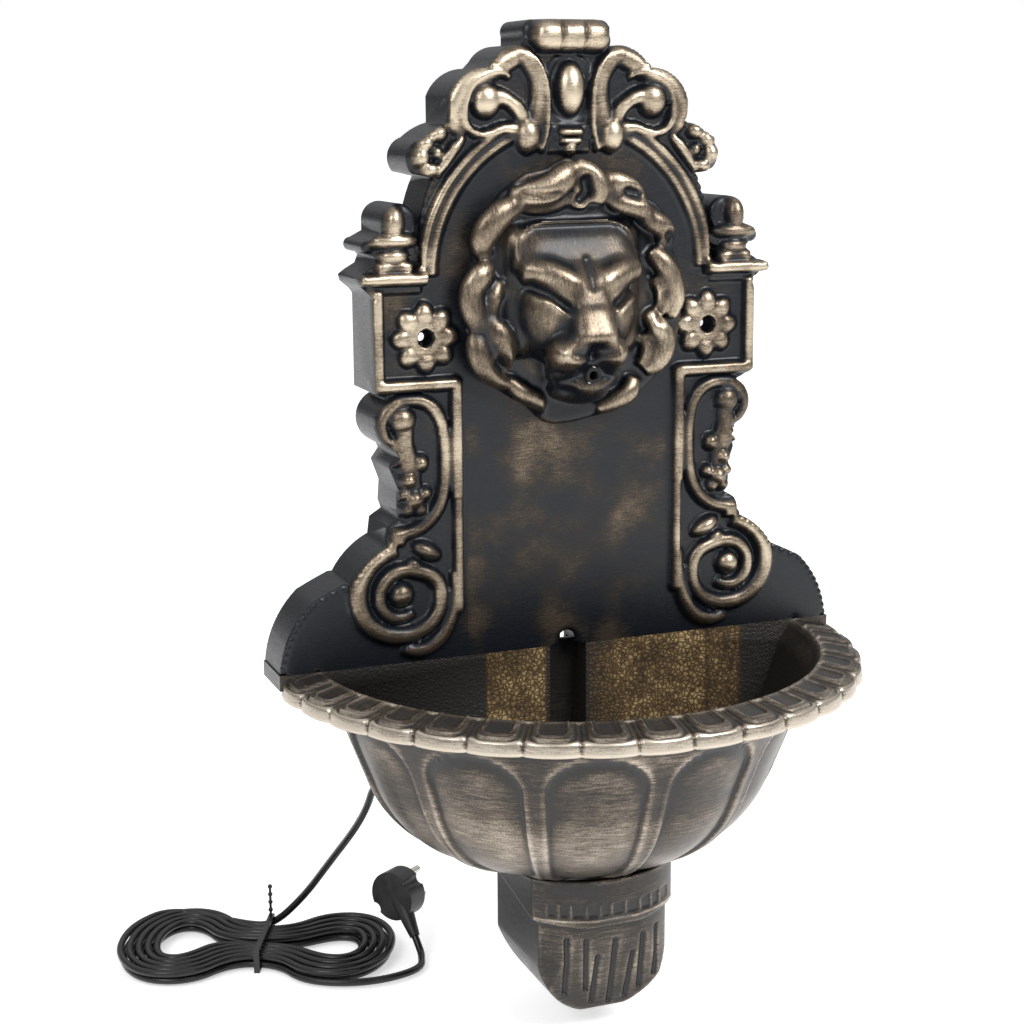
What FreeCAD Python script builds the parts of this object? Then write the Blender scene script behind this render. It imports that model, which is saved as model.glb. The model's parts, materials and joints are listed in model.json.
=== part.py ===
"""Garden wall fountain: a moulded wall plate with a lion mask spout, a half-round shell basin on a
fluted corbel, and a small mains pump in the basin that lifts the water to the mask.

Frame: the origin is midway between the two wall screws, in the middle of their seat wall.
+X is to the viewer's right, +Y goes into the wall and +Z is up. All sizes are in millimetres."""
import FreeCAD, Part
import Sketcher
import math
import os
import re

doc = FreeCAD.newDocument("wall_fountain")

# Driving dimensions: name, size, what it is
SIZES = [
    ("screw_spacing", 195, "distance between the two wall screws"),
    ("screw_hole", 5.5, "diameter of a wall screw hole"),
    ("seat_bore", 11, "diameter of the recess for a wall screw head"),
    ("seat_recess", 5, "depth of that recess"),
    ("seat_wall", 3, "wall that the wall screw clamps"),
    ("plate_depth", 41, "from the wall to the front face of the plate"),
    ("plate_wall", 3, "wall thickness of the plate moulding"),
    ("plate_half", 195, "half width of the plate at the seam"),
    ("plate_top", 193, "top of the crown above the screws"),
    ("seam_drop", 208, "seam between plate and basin below the screws"),
    ("crown_half", 29, "half width of the crown roll"),
    ("crown_height", 17, "height of the crown roll"),
    ("arch_centre", 38, "height of the centre of the arch"),
    ("arch_outer", 101, "outer radius of the arch band"),
    ("arch_inner", 87, "inner radius of the arch band"),
    ("relief", 5, "how far the arch band and pilasters stand proud"),
    ("capital_in", 80, "inner edge of a capital block"),
    ("capital_out", 131, "outer edge of a capital block"),
    ("capital_top", 30, "top of a capital block under its cornice"),
    ("capital_low", 33, "bottom of a capital block below the screws"),
    ("cornice_reach", 140, "outer end of a cornice"),
    ("cornice_height", 8.5, "height of a cornice"),
    ("rosette_radius", 22.5, "radius of a rosette"),
    ("rosette_rise", 3, "how far a rosette stands proud"),
    ("strip_width", 8, "width of the upright strip beside the mask panel"),
    ("strip_length", 140, "length of that strip"),
    ("scroll_x", 115.5, "centre of a lower scroll"),
    ("scroll_drop", 165, "centre of a lower scroll below the screws"),
    ("scroll_radius", 22, "radius of a lower scroll to its tube centre"),
    ("scroll_tube", 4.5, "radius of the scroll's tube"),
    ("scroll_boss", 8, "radius of the boss in a scroll"),
    ("volute_x", 114, "centre of an upper volute"),
    ("volute_drop", 52, "centre of an upper volute below the screws"),
    ("volute_radius", 9.5, "radius of the ball in an upper volute"),
    ("oval_radius", 7.5, "radius of the jewel under the crown"),
    ("oval_height", 150, "height of that jewel"),
    ("crest_ball_x", 51, "centre of a crest ball"),
    ("crest_ball_height", 143, "height of a crest ball"),
    ("crest_ball", 10, "radius of a crest ball"),
    ("port_width", 12, "width of the port in the plate's lower edge"),
    ("port_height", 9, "height of that port"),
    ("mask_window", 22, "half width of the opening behind the mask"),
    ("mask_window_top", 15, "top of that opening"),
    ("mask_window_low", 45, "bottom of that opening below the screws"),
    ("slot_half", 14, "half width of the hose slot in plate floor and shelf"),
    ("mane_radius", 79, "radius of the mane where it meets the plate"),
    ("mane_height", 22, "rise of the mane from the plate"),
    ("mane_z", 28, "height of the middle of the mane"),
    ("face_radius", 40, "radius of the lion's brow and face"),
    ("face_y", 7, "face centre in front of the screws"),
    ("face_z", 24, "height of the face centre"),
    ("muzzle_radius", 20, "radius of the muzzle"),
    ("muzzle_y", 49, "muzzle centre in front of the screws"),
    ("muzzle_drop", 3, "muzzle centre below the screws"),
    ("jaw_radius", 22, "radius of the jaw barrel"),
    ("jaw_y", 46, "front of the jaw barrel"),
    ("jaw_drop", 18, "axis of the jaw barrel below the screws"),
    ("chin_radius", 15, "radius of the chin"),
    ("chin_y", 35, "chin centre in front of the screws"),
    ("chin_drop", 39, "chin centre below the screws"),
    ("mask_wall", 3, "wall thickness of the mask"),
    ("mouth_drop", 24, "spout axis below the screws"),
    ("mask_screw_x", 38, "mask screws to each side"),
    ("mask_screw_z", 37, "mask screws above and below the middle of the mane"),
    ("mask_boss", 4, "radius of a mask screw boss"),
    ("hose_outer", 6, "outer radius of the hoses"),
    ("hose_bore", 4.5, "bore radius of the hoses"),
    ("barb_bore", 3, "bore radius of the barbs in the hoses"),
    ("barb_grip", 12, "length of a barb inside a hose"),
    ("spout_outer", 5, "outer radius of the spout"),
    ("spout_proud", 2, "how far the spout stands out of the jaw"),
    ("spout_length", 12, "length of the spout before its barb"),
    ("riser_y", 22.5, "riser hose axis behind the screws"),
    ("riser_bend", 45, "bend radius of the riser hose"),
    ("lip_inset", 1, "how far the rim's lip stays inside the plate's half width"),
    ("lip_slope", 2, "how far the lip stands out past the rim's top face"),
    ("rim_width", 24, "width of the rim's top face"),
    ("rim_fall", 4.4, "fall of the rim's top face towards the lip"),
    ("lip_height", 8.6, "height of the lip"),
    ("rim_step", 1, "rim's inner edge below the seam"),
    ("bowl_setback", 6, "bowl axis behind the plate's front face"),
    ("neck_inset", 5, "how far the bowl under the rim stays inside the rim's inner edge"),
    ("bowl_belly", 140, "outer radius of the bowl at its belly"),
    ("belly_drop", 283, "belly below the screws"),
    ("bowl_turn", 121, "outer radius of the bowl on its lower turn"),
    ("turn_drop", 316, "lower turn below the screws"),
    ("bowl_heel", 80, "outer radius of the bowl at its heel"),
    ("heel_drop", 343, "heel below the screws"),
    ("bowl_base", 52, "radius of the flat underside"),
    ("base_drop", 350, "underside below the screws"),
    ("bowl_wall", 4, "wall thickness of the bowl"),
    ("floor_radius", 70, "radius of the flat floor inside"),
    ("floor_thick", 8, "thickness of the floor"),
    ("back_wall", 5, "thickness of the basin's back wall"),
    ("groove_half", 13, "half width of the hose groove"),
    ("groove_depth", 15, "depth of the hose groove"),
    ("groove_wall", 3, "wall around the hose groove"),
    ("groove_low", 335, "bottom of the hose groove below the screws"),
    ("shelf_edge", 1, "how far the shelf stands out past the plate on each side"),
    ("shelf_height", 10, "height of the shelf's skirt"),
    ("shelf_skin", 4, "thickness of the shelf"),
    ("rib_thick", 4, "thickness of a rear rib"),
    ("rib_near", 60, "nearer pair of rear ribs"),
    ("rib_far", 140, "outer pair of rear ribs"),
    ("rib_near_length", 75, "length of the nearer ribs"),
    ("rib_far_length", 50, "length of the outer ribs"),
    ("plate_screw_near", 85, "nearer pair of seam screws"),
    ("plate_screw_far", 165, "outer pair of seam screws"),
    ("plate_screw_y", 14, "seam screws behind the wall screws"),
    ("screw_shank", 1.5, "radius of an assembly screw"),
    ("screw_head", 3.4, "head radius of an assembly screw"),
    ("head_height", 2.4, "head height of an assembly screw"),
    ("screw_bite", 9, "length of an assembly screw in its boss"),
    ("boss_radius", 4.5, "radius of a screw boss"),
    ("boss_height", 12, "height of a screw boss"),
    ("floor_drop", 458, "floor under the cord, below the screws"),
    ("foot_half", 49.5, "half width of the corbel's collar"),
    ("foot_reach", 86, "corbel's front before the screws"),
    ("foot_straight", 64, "where the corbel's curved front begins"),
    ("foot_tail", 34, "half width of the corbel at the wall"),
    ("foot_shoulder", 10, "where the corbel narrows, behind the wall screws"),
    ("foot_wall", 3.5, "wall thickness of the corbel"),
    ("foot_low", 447.2, "lowest point of the corbel below the screws"),
    ("foot_low_y", 40.5, "lowest point in front of the screws"),
    ("foot_side_low", 389, "where the corbel's sides begin to round"),
    ("foot_toe_top", 361, "where the corbel's front begins to round"),
    ("foot_toe_mid", 403, "middle of the front's rounding"),
    ("foot_tail_low", 388, "bottom of the corbel at the wall"),
    ("collar_low", 376, "lower edge of the collar in front"),
    ("collar_tail_low", 356, "lower edge of the collar at the wall"),
    ("collar_rise", 4, "how far the collar stands proud"),
    ("web_gap", 29, "underside of the corbel's web below the basin's underside"),
    ("web_thick", 3, "thickness of that web"),
    ("foot_screw_x", 22, "corbel screws to each side"),
    ("foot_screw_y", 38, "corbel screws in front of the wall screws"),
    ("foot_boss", 6, "radius of a corbel screw boss"),
    ("pump_y", 44.5, "motor axis in front of the screws"),
    ("pump_drop", 313, "motor axis below the screws"),
    ("motor_left", 50, "left end of the motor housing"),
    ("motor_right", 8, "right end of the motor housing, left of the outlet"),
    ("motor_width", 35, "width of the motor housing"),
    ("motor_height", 38, "height of the motor housing"),
    ("motor_round", 4, "corner radius of the motor housing"),
    ("chamber_right", 14, "right end of the impeller chamber"),
    ("chamber_radius", 17, "outer radius of the impeller chamber"),
    ("chamber_bore", 14, "bore radius of the impeller chamber"),
    ("chamber_floor", 3, "thickness of the chamber's floor"),
    ("outlet_rise", 9, "outlet axis above the motor axis"),
    ("outlet_radius", 6.5, "radius of the outlet stub"),
    ("outlet_reach", 20, "outlet stub from the motor axis"),
    ("rotor_radius", 8, "radius of the magnet rotor"),
    ("rotor_gap", 0.6, "gap between the rotor and its well"),
    ("rotor_length", 33, "length of the magnet rotor"),
    ("axle_radius", 1.5, "radius of the impeller's axle"),
    ("running_gap", 0.05, "radial running clearance on a pin"),
    ("bush_radius", 3.5, "radius of an axle bush"),
    ("bush_length", 3.5, "length of an axle bush"),
    ("impeller_radius", 12.5, "radius of the impeller"),
    ("vane_height", 7, "height of a vane"),
    ("vane_thick", 1.4, "thickness of a vane"),
    ("cover_thick", 3, "thickness of the impeller cover"),
    ("cover_holes", 8, "radius on which the cover's inlet holes lie"),
    ("cover_hole", 2.4, "radius of an inlet hole"),
    ("cap_outer", 20, "outer radius of the strainer cap"),
    ("cap_overlap", 6, "how far the cap covers the chamber"),
    ("cap_reach", 26, "right end of the strainer cap"),
    ("cap_face", 2.5, "thickness of the cap's face"),
    ("strainer_slot", 2.6, "width of a strainer slot"),
    ("slot_length", 8, "length of a strainer slot"),
    ("dial_radius", 10, "radius of the flow dial"),
    ("dial_thick", 2.6, "thickness of the flow dial"),
    ("dial_pin", 2, "radius of the pin that the dial turns on"),
    ("pin_head", 3.4, "head radius of that pin"),
    ("pin_head_height", 1.6, "thickness of that head"),
    ("dial_window", 2.2, "radius of a flow window"),
    ("window_circle", 6.4, "radius on which the flow windows lie"),
    ("cup_radius", 7, "radius of a suction cup"),
    ("cup_neck", 3, "neck radius of a suction cup"),
    ("cup_near", 14, "nearer cups left of the outlet"),
    ("cup_far", 34, "outer cups left of the outlet"),
    ("cup_spread", 7.5, "cups in front of and behind the motor axis"),
    ("gland_length", 22, "length of the cord's strain relief at the pump"),
    ("gland_radius", 6, "radius of the strain relief at the pump"),
    ("gland_rise", 7, "strain relief above the motor axis"),
    ("elbow_radius", 7, "radius of the bulkhead elbow"),
    ("flange_radius", 11, "radius of the elbow's flange"),
    ("flange_thick", 3, "thickness of the elbow's flange"),
    ("seal_thick", 2, "thickness of the bulkhead seal"),
    ("nut_radius", 12, "corner radius of the bulkhead nut"),
    ("nut_thick", 3.6, "thickness of the bulkhead nut"),
    ("elbow_rise", 9, "height of the elbow's body above its axis"),
    ("clip_drop", 130, "hose clip below the screws"),
    ("clip_width", 8, "width of the hose clip"),
    ("clip_wall", 2, "wall of the hose clip"),
    ("cord_radius", 2.6, "radius of the mains cord"),
    ("grommet_x", 113, "grommet to the left of the middle"),
    ("grommet_drop", 290, "grommet below the screws"),
    ("grommet_neck", 5, "neck radius of the grommet"),
    ("grommet_flange", 8, "flange radius of the grommet"),
    ("grommet_lip", 2.5, "thickness of a grommet flange"),
    ("fit_gap", 0.1, "clearance between pieces that are pushed together"),
    ("loose_gap", 0.3, "clearance between curved faces"),
    ("hank_left", 103.4, "left end of the outermost loop from the tie"),
    ("hank_right", 96, "right end of the outermost loop from the tie"),
    ("lobe_left", 57, "half width of the left lobe"),
    ("lobe_right", 53, "half width of the right lobe"),
    ("lobe_left_at", 62, "widest place of the left lobe from the tie"),
    ("lobe_right_at", 58, "widest place of the right lobe from the tie"),
    ("waist_half", 26.4, "half width of the outermost loop at the tie"),
    ("loop_step", 5.75, "step from loop to loop at the waist"),
    ("left_step", 6.5, "step from loop to loop in the left lobe"),
    ("right_step", 8, "step from loop to loop in the right lobe"),
    ("layer_rise", 5.7, "rise from the lower layer to the upper"),
    ("tie_wall", 1.2, "thickness of the cord tie"),
    ("tie_width", 4, "width of the cord tie"),
    ("tie_near", 30, "reach of the tie to the near side of the hank's middle"),
    ("tie_far", 31.5, "reach of the tie to the far side of the hank's middle"),
    ("tie_room", 15, "inner height of the tie"),
    ("tie_tail", 24, "length of the tie's tail"),
    ("tie_bead", 1.7, "radius of a bead on the tie's tail"),
    ("tail_radius", 0.9, "radius of the tie's tail"),
    ("plug_radius", 18, "radius of the plug's body"),
    ("plug_thick", 16, "thickness of the plug's body"),
    ("neck_end", 34, "end of the plug's neck from its centre"),
    ("pin_radius", 2.4, "radius of a plug pin"),
    ("pin_length", 19, "length of a plug pin"),
    ("pin_spacing", 19, "distance between the plug's pins"),
]

sheet = doc.addObject("Spreadsheet::Sheet", "sizes")
for row, (alias, size, note) in enumerate(SIZES, start=1):
    sheet.set("A%d" % row, alias)
    sheet.set("B%d" % row, str(size))
    sheet.set("C%d" % row, note)
    sheet.setAlias("B%d" % row, alias)
doc.recompute()

# Places worked out from the sheet
places = doc.addObject("App::VarSet", "places")
SHEET_WORDS = {alias for alias, size, note in SIZES}
PLACE_WORDS = []


def bound(formula):
    """The formula with each word tied to its cell or place."""
    def tie(match):
        word = match.group(0)
        if word in SHEET_WORDS:
            return "sizes." + word
        if word in PLACE_WORDS:
            return "places." + word
        return word
    return re.sub(r"[a-z][a-z0-9_]*", tie, str(formula))


def place(name, formula):
    """Keep a further value, worked out from those before it."""
    places.addProperty("App::PropertyFloat", name)
    places.setExpression(name, bound(formula))
    PLACE_WORDS.append(name)


place("front", "-seat_wall / 2 - seat_recess")
place("wall_y", "front + plate_depth")
place("inner_face", "front + plate_wall")
place("seam", "-seam_drop")
place("bowl_y", "front + bowl_setback")
place("back_face", "front + back_wall")
place("groove_face", "front + groove_depth")
place("groove_back", "groove_face + groove_wall")
place("basin_floor", "-base_drop + floor_thick")
place("rim_outer", "plate_half - lip_inset")
place("rim_top", "rim_outer - lip_slope")
place("rim_inner", "rim_top - rim_width")
place("bowl_neck", "rim_inner - neck_inset")
place("shelf_half", "plate_half + shelf_edge")
place("web_z", "-base_drop - web_gap")
place("jaw_front", "-jaw_y")
place("spout_tip", "jaw_front - spout_proud")
place("spout_heel", "spout_tip + spout_length")
place("motor_y", "-pump_y")
place("motor_z", "-pump_drop")
place("outlet_z", "motor_z + outlet_rise")
place("outlet_tip", "motor_y + outlet_reach")
place("elbow_flange_face", "groove_face - seal_thick - flange_thick")
place("riser_foot", "outlet_z + elbow_rise")
place("riser_top", "-mouth_drop - riser_bend")
place("riser_nose", "riser_y - riser_bend")
place("cover_face", "chamber_right - cover_thick")
place("dial_face", "cap_reach + loose_gap")
place("motor_base", "motor_z - motor_height / 2")
place("gland_z", "motor_z + gland_rise")
place("floor_z", "-floor_drop")
doc.recompute()


class Reader:
    """Reads a size or place by its word, for shapes that need plain numbers."""

    def __getattr__(self, word):
        return float(getattr(places if word in PLACE_WORDS else sheet, word))


v = Reader()
vec = FreeCAD.Vector
TURNS = {"+X": vec(1, 0, 0), "-X": vec(-1, 0, 0), "+Y": vec(0, 1, 0), "-Y": vec(0, -1, 0),
         "+Z": vec(0, 0, 1), "-Z": vec(0, 0, -1)}


# Building blocks
def primitive(kind, name, at, turn, sizes):
    """A solid of one of the basic kinds, its sizes and place tied to the sheet."""
    thing = doc.addObject(kind, name)
    for prop, formula in sizes.items():
        thing.setExpression(prop, bound(formula))
    thing.Placement.Rotation = turn if isinstance(turn, FreeCAD.Rotation) \
        else FreeCAD.Rotation(vec(0, 0, 1), TURNS[turn])
    for axis, formula in zip("xyz", at):
        thing.setExpression("Placement.Base." + axis, bound(formula))
    return thing


def box(name, low, high):
    """A box between two corners."""
    sizes = {prop: "(%s) - (%s)" % (top, bottom)
             for prop, bottom, top in zip(("Length", "Width", "Height"), low, high)}
    return primitive("Part::Box", name, low, "+Z", sizes)


def rod(name, at, turn, radius, length):
    return primitive("Part::Cylinder", name, at, turn, {"Radius": radius, "Height": length})


def cone(name, at, turn, radius1, radius2, length):
    return primitive("Part::Cone", name, at, turn,
                     {"Radius1": radius1, "Radius2": radius2, "Height": length})


def ball(name, at, radius):
    return primitive("Part::Sphere", name, at, "-Y", {"Radius": radius})


def ring(name, at, turn, radius1, radius2):
    return primitive("Part::Torus", name, at, turn, {"Radius1": radius1, "Radius2": radius2})


def fuse(name, *things):
    if len(things) == 1:
        return things[0]
    joined = doc.addObject("Part::MultiFuse", name)
    joined.Shapes = list(things)
    return joined


def common(name, *things):
    shared = doc.addObject("Part::MultiCommon", name)
    shared.Shapes = list(things)
    return shared


def cut(name, base, *tools):
    rest = doc.addObject("Part::Cut", name)
    rest.Base = base
    rest.Tool = fuse(name + "_tool", *tools)
    return rest


def tube(name, at, turn, outer, bore, length):
    """A round tube."""
    return cut(name, rod(name + "_outer", at, turn, outer, length),
               rod(name + "_bore", at, turn, bore, length))


def drawn(name, wire):
    """A flat face from a closed wire."""
    thing = doc.addObject("Part::Feature", name)
    thing.Shape = Part.Face(wire)
    return thing


def extruded(name, face, direction, length):
    thing = doc.addObject("Part::Extrusion", name)
    thing.Base = face
    thing.DirMode = "Custom"
    thing.Dir = TURNS[direction]
    thing.Solid = True
    thing.setExpression("LengthFwd", bound(length))
    return thing


def revolved(name, face, axis_y):
    """A full turn about the upright axis at X = 0 and the given Y."""
    thing = doc.addObject("Part::Revolution", name)
    thing.Source = face
    thing.Axis = vec(0, 0, 1)
    thing.Base = vec(0, axis_y, 0)
    thing.Angle = 360
    thing.Solid = True
    return thing


def turned(name, points, at, turn):
    """A turned piece: its half section, given as radius and height, spun about its axis."""
    body = doc.addObject("PartDesign::Body", name)
    plane = [item for item in body.Origin.OriginFeatures if item.Role == "XZ_Plane"][0]
    sketch = body.newObject("Sketcher::SketchObject", name + "_section")
    sketch.AttachmentSupport = (plane, [""])
    sketch.MapMode = "FlatFace"
    count = len(points)
    rough = [vec(index % 2 + 1, index, 0) for index in range(count)]
    for index in range(count):
        sketch.addGeometry(Part.LineSegment(rough[index], rough[(index + 1) % count]), False)
    for index in range(count):
        sketch.addConstraint(Sketcher.Constraint("Coincident", index, 2, (index + 1) % count, 1))
    for index, (radius, height) in enumerate(points):
        for kind, formula in (("DistanceX", radius), ("DistanceY", height)):
            if str(formula) == "0":
                axis = -2 if kind == "DistanceX" else -1
                sketch.addConstraint(Sketcher.Constraint("PointOnObject", index, 1, axis))
                continue
            number = sketch.addConstraint(Sketcher.Constraint(kind, -1, 1, index, 1, 1.0 + index))
            sketch.setExpression("Constraints[%d]" % number, bound(formula))
    spin = body.newObject("PartDesign::Revolution", name + "_turn")
    spin.Profile = sketch
    spin.ReferenceAxis = (sketch, ["V_Axis"])
    spin.Angle = 360
    body.Placement.Rotation = FreeCAD.Rotation(vec(0, 0, 1), TURNS[turn])
    for axis, formula in zip("xyz", at):
        body.setExpression("Placement.Base." + axis, bound(formula))
    return body


NODES = []


def node(name, thing):
    """Name a finished piece; the name is also its file's name."""
    thing.Label = name
    NODES.append(thing)
    return thing


def path_wire(start, steps, to_point):
    """A wire from a start through lines (2 numbers) and arcs (middle and end: 4 numbers)."""
    edges = []
    here = start
    for step in steps:
        end = step[-2:]
        if len(step) == 4:
            edges.append(Part.Arc(to_point(here), to_point(step[:2]), to_point(end)).toShape())
        else:
            edges.append(Part.LineSegment(to_point(here), to_point(end)).toShape())
        here = end
    return edges


# Wall plate: a shell open at the back, with a moulded front
def plate_face(inset):
    """The plate's front outline, drawn in by the inset, at the front face."""
    half_steps = [
        (v.crown_half - 7, v.plate_top),
        (v.crown_half - 0.5, v.plate_top - 3, v.crown_half, v.plate_top - 9),
        (v.crown_half, v.plate_top - v.crown_height + 1),
        (42, 176, 51, 168),
        (55, 164),
        (72, 158, 80, 147),
        (80, 131),
        (88, 128, 97, 122),
        (106, 112, 103, v.arch_outer),
        (90, 98),
        (98.5, 70, 99, 45),
        (104, 42),
        (106, 50),
        (100, 54),
        (100, 60),
        (104, 63),
        (101, 70),
        (113, 83, 124, 70),
        (124, 65),
        (132, 61),
        (136, 57, 130, 53),
        (127, 50),
        (129, 45),
        (v.cornice_reach - 4, 41),
        (v.cornice_reach, v.capital_top + v.cornice_height - 0.5),
        (v.cornice_reach - 1, v.capital_top + 4),
        (v.capital_out + 2, v.capital_top - 1),
        (v.capital_out, v.capital_top - 4),
        (v.capital_out, -v.capital_low),
        (121, -38),
        (130.5, -54, 118, -70),
        (116, -74),
        (121, -81),
        (116, -95),
        (117, -108),
        (115, -114),
        (123, -119),
        (124.5, -130),
        (140, -141, 149, -153),
        (152, -153),
        (163, -158, 173, -163),
        (188, -183, v.plate_half, v.seam),
    ]
    start = (0, v.plate_top)
    edges = []
    for side in (1, -1):
        def to_point(xz, side=side):
            return vec(side * xz[0], v.front, xz[1])
        edges += path_wire(start, half_steps, to_point)
    edges.append(Part.LineSegment(vec(-v.plate_half, v.front, v.seam),
                                  vec(v.plate_half, v.front, v.seam)).toShape())
    outline = Part.Wire(Part.__sortEdges__(edges))
    if inset:
        outline = outline.makeOffset2D(-inset)
    return outline


shell = extruded("plate_block", drawn("plate_outline", plate_face(0)), "+Y", "plate_depth")
hollow = extruded("plate_hollow", drawn("plate_hollow_outline", plate_face(v.plate_wall)), "+Y",
                  "plate_depth")
hollow.setExpression("Placement.Base.y", bound("plate_wall"))

raised = []
band = cut("arch_band", rod("arch_band_out", ("0", "front", "arch_centre"), "-Y", "arch_outer", "relief"),
           rod("arch_band_in", ("0", "front + relief", "arch_centre"), "-Y", "arch_inner", "relief * 3"),
           box("arch_below", ("-plate_half", "front - relief * 2", "-plate_half"),
               ("plate_half", "front + relief", "arch_centre")))
raised.append(band)
raised.append(rod("jewel", ("0", "front", "oval_height"), "-Y", "oval_radius", "relief"))
raised.append(box("crown_roll", ("-crown_half + 4", "front - relief", "plate_top - crown_height"),
                  ("crown_half - 4", "front", "plate_top - 3")))
seats = []
for side, word in ((1, "right"), (-1, "left")):
    sign = "" if side > 0 else "-"
    inner, outer = ("capital_in", "capital_out") if side > 0 else ("-capital_out", "-capital_in")
    raised.append(box("capital_" + word, (inner, "front - relief", "-capital_low"),
                      (outer, "front", "capital_top")))
    inner, outer = "arch_outer - relief", "cornice_reach - 1"
    if side < 0:
        inner, outer = "-(%s)" % outer, "-(%s)" % inner
    raised.append(box("cornice_" + word, (inner, "front - relief - 3", "capital_top + 4"),
                      (outer, "front", "capital_top + cornice_height")))
    inner, outer = ("capital_in - 3.5", "capital_in - 3.5 + strip_width")
    if side < 0:
        inner, outer = "-(%s)" % outer, "-(%s)" % inner
    raised.append(box("strip_" + word, (inner, "front - relief", "-capital_low - strip_length"),
                      (outer, "front", "-capital_low")))
    raised.append(rod("rosette_" + word, (sign + "screw_spacing / 2", "front", "0"), "-Y",
                      "rosette_radius", "relief + rosette_rise"))
    raised.append(ring("scroll_" + word, (sign + "scroll_x", "front", "-scroll_drop"), "-Y",
                       "scroll_radius", "scroll_tube"))
    raised.append(ball("scroll_boss_" + word, (sign + "scroll_x", "front", "-scroll_drop"), "scroll_boss"))
    raised.append(ball("volute_" + word, (sign + "volute_x", "front", "-volute_drop"), "volute_radius"))
    raised.append(ball("crest_" + word, (sign + "crest_ball_x", "front", "crest_ball_height"), "crest_ball"))
    seats.append(rod("seat_cup_" + word, (sign + "screw_spacing / 2", "front", "0"), "+Y",
                     "seat_bore / 2 + plate_wall", "seat_recess + seat_wall"))

# The rounded relief keeps to the front of the plate
front_only = box("front_room", ("-plate_half", "front - plate_depth", "-plate_half * 2"),
                 ("plate_half", "front", "plate_half * 2"))
relief = common("plate_relief", fuse("plate_raised", *raised), front_only)

floor_bosses = []
floor_pilots = []
for x_word in ("plate_screw_near", "plate_screw_far"):
    for sign in ("", "-"):
        name = x_word + ("_left" if sign else "_right")
        at = (sign + x_word, "plate_screw_y", "seam")
        floor_bosses.append(rod(name + "_boss", at, "+Z", "boss_radius", "boss_height"))
        floor_pilots.append(rod(name + "_pilot", (at[0], at[1], "seam - 1"), "+Z",
                                "screw_shank + running_gap", "screw_bite + 2"))

openings = []
for side, word in ((1, "right"), (-1, "left")):
    sign = "" if side > 0 else "-"
    openings.append(rod("seat_recess_" + word,
                        (sign + "screw_spacing / 2", "front - relief * 2", "0"), "+Y",
                        "seat_bore / 2", "relief * 2 + seat_recess"))
    openings.append(rod("screw_hole_" + word, (sign + "screw_spacing / 2", "front", "0"), "+Y",
                        "screw_hole / 2", "plate_depth"))
openings.append(box("mask_window_cut", ("-mask_window", "front - 1", "-mask_window_low"),
                    ("mask_window", "inner_face + 1", "mask_window_top")))
openings.append(box("port_cut", ("-port_width / 2", "front - 1", "seam - 1"),
                    ("port_width / 2", "inner_face + 1", "seam + port_height - port_width / 2")))
openings.append(rod("port_arch", ("0", "front - 1", "seam + port_height - port_width / 2"), "+Y",
                    "port_width / 2", "plate_wall + 2"))
openings.append(box("floor_slot", ("-slot_half", "inner_face", "seam - 1"),
                    ("slot_half", "wall_y + 1", "seam + plate_wall + 1")))
for x_sign in (1, -1):
    for z_sign in (1, -1):
        at = ("%d * mask_screw_x" % x_sign, "front - 1", "mane_z + %d * mask_screw_z" % z_sign)
        openings.append(rod("mask_screw_hole_%d_%d" % (x_sign + 1, z_sign + 1), at, "+Y",
                            "screw_shank + running_gap", "plate_wall + 2"))
plate = cut("plate_body", fuse("plate_solid", cut("plate_shell", shell, hollow), relief,
                               *(seats + floor_bosses)), *(openings + floor_pilots))
node("back_plate", plate)


# Lion mask: a hollow moulding with bosses for its rear screws
def mask_block(name, inset):
    """The lion's head as rounded masses, each drawn in by the inset."""
    drop = "(%s)" % inset
    rise = "mane_height"
    dome = "((mane_radius * mane_radius + %s * %s) / (2 * %s))" % (rise, rise, rise)
    masses = [
        ball(name + "_mane", ("0", "front - mane_height + " + dome, "mane_z"), dome + " - " + drop),
        ball(name + "_face", ("0", "-face_y", "face_z"), "face_radius - " + drop),
        ball(name + "_muzzle", ("0", "-muzzle_y", "-muzzle_drop"), "muzzle_radius - " + drop),
        rod(name + "_jaw", ("0", "front + 1", "-jaw_drop"), "-Y", "jaw_radius - " + drop,
            "front + 1 - jaw_front - " + drop),
        ball(name + "_chin", ("0", "-chin_y", "-chin_drop"), "chin_radius - " + drop),
    ]
    return fuse(name, *masses)


mask_front = box("mask_room", ("-mane_radius * 2", "front - mane_radius * 2", "-mane_radius * 2"),
                 ("mane_radius * 2", "front", "mane_radius * 2"))
mask_solid = common("mask_outer", mask_block("mask_mass", "0"), mask_front)
mask_bosses = []
mask_pilots = []
screws = []
for x_sign in (1, -1):
    for z_sign in (1, -1):
        corner = "%d_%d" % (x_sign + 1, z_sign + 1)
        x_place = "%d * mask_screw_x" % x_sign
        z_place = "mane_z + %d * mask_screw_z" % z_sign
        mask_bosses.append(rod("mask_boss_" + corner, (x_place, "front", z_place), "-Y",
                               "mask_boss", "mane_height"))
        mask_pilots.append(rod("mask_pilot_" + corner, (x_place, "front + 1", z_place), "-Y",
                               "screw_shank + running_gap", "screw_bite - plate_wall + 2"))
        screws.append(fuse("mask_screw_" + corner,
                           rod("mask_shank_" + corner, (x_place, "inner_face", z_place), "-Y",
                               "screw_shank", "screw_bite"),
                           rod("mask_head_" + corner, (x_place, "inner_face", z_place), "+Y",
                               "screw_head", "head_height")))
mask_posts = common("mask_posts", fuse("mask_boss_set", *mask_bosses), mask_solid)
mask_cavity = common("mask_cavity", mask_block("mask_inner", "mask_wall"), mask_front)
hose_way = rod("mask_hose_way", ("0", "front", "-mouth_drop"), "-Y", "hose_outer + 1",
               "front - spout_heel + barb_grip / 2")
mouth = rod("mouth_hole", ("0", "spout_heel", "-mouth_drop"), "-Y", "spout_outer + fit_gap",
            "mane_radius")
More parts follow.
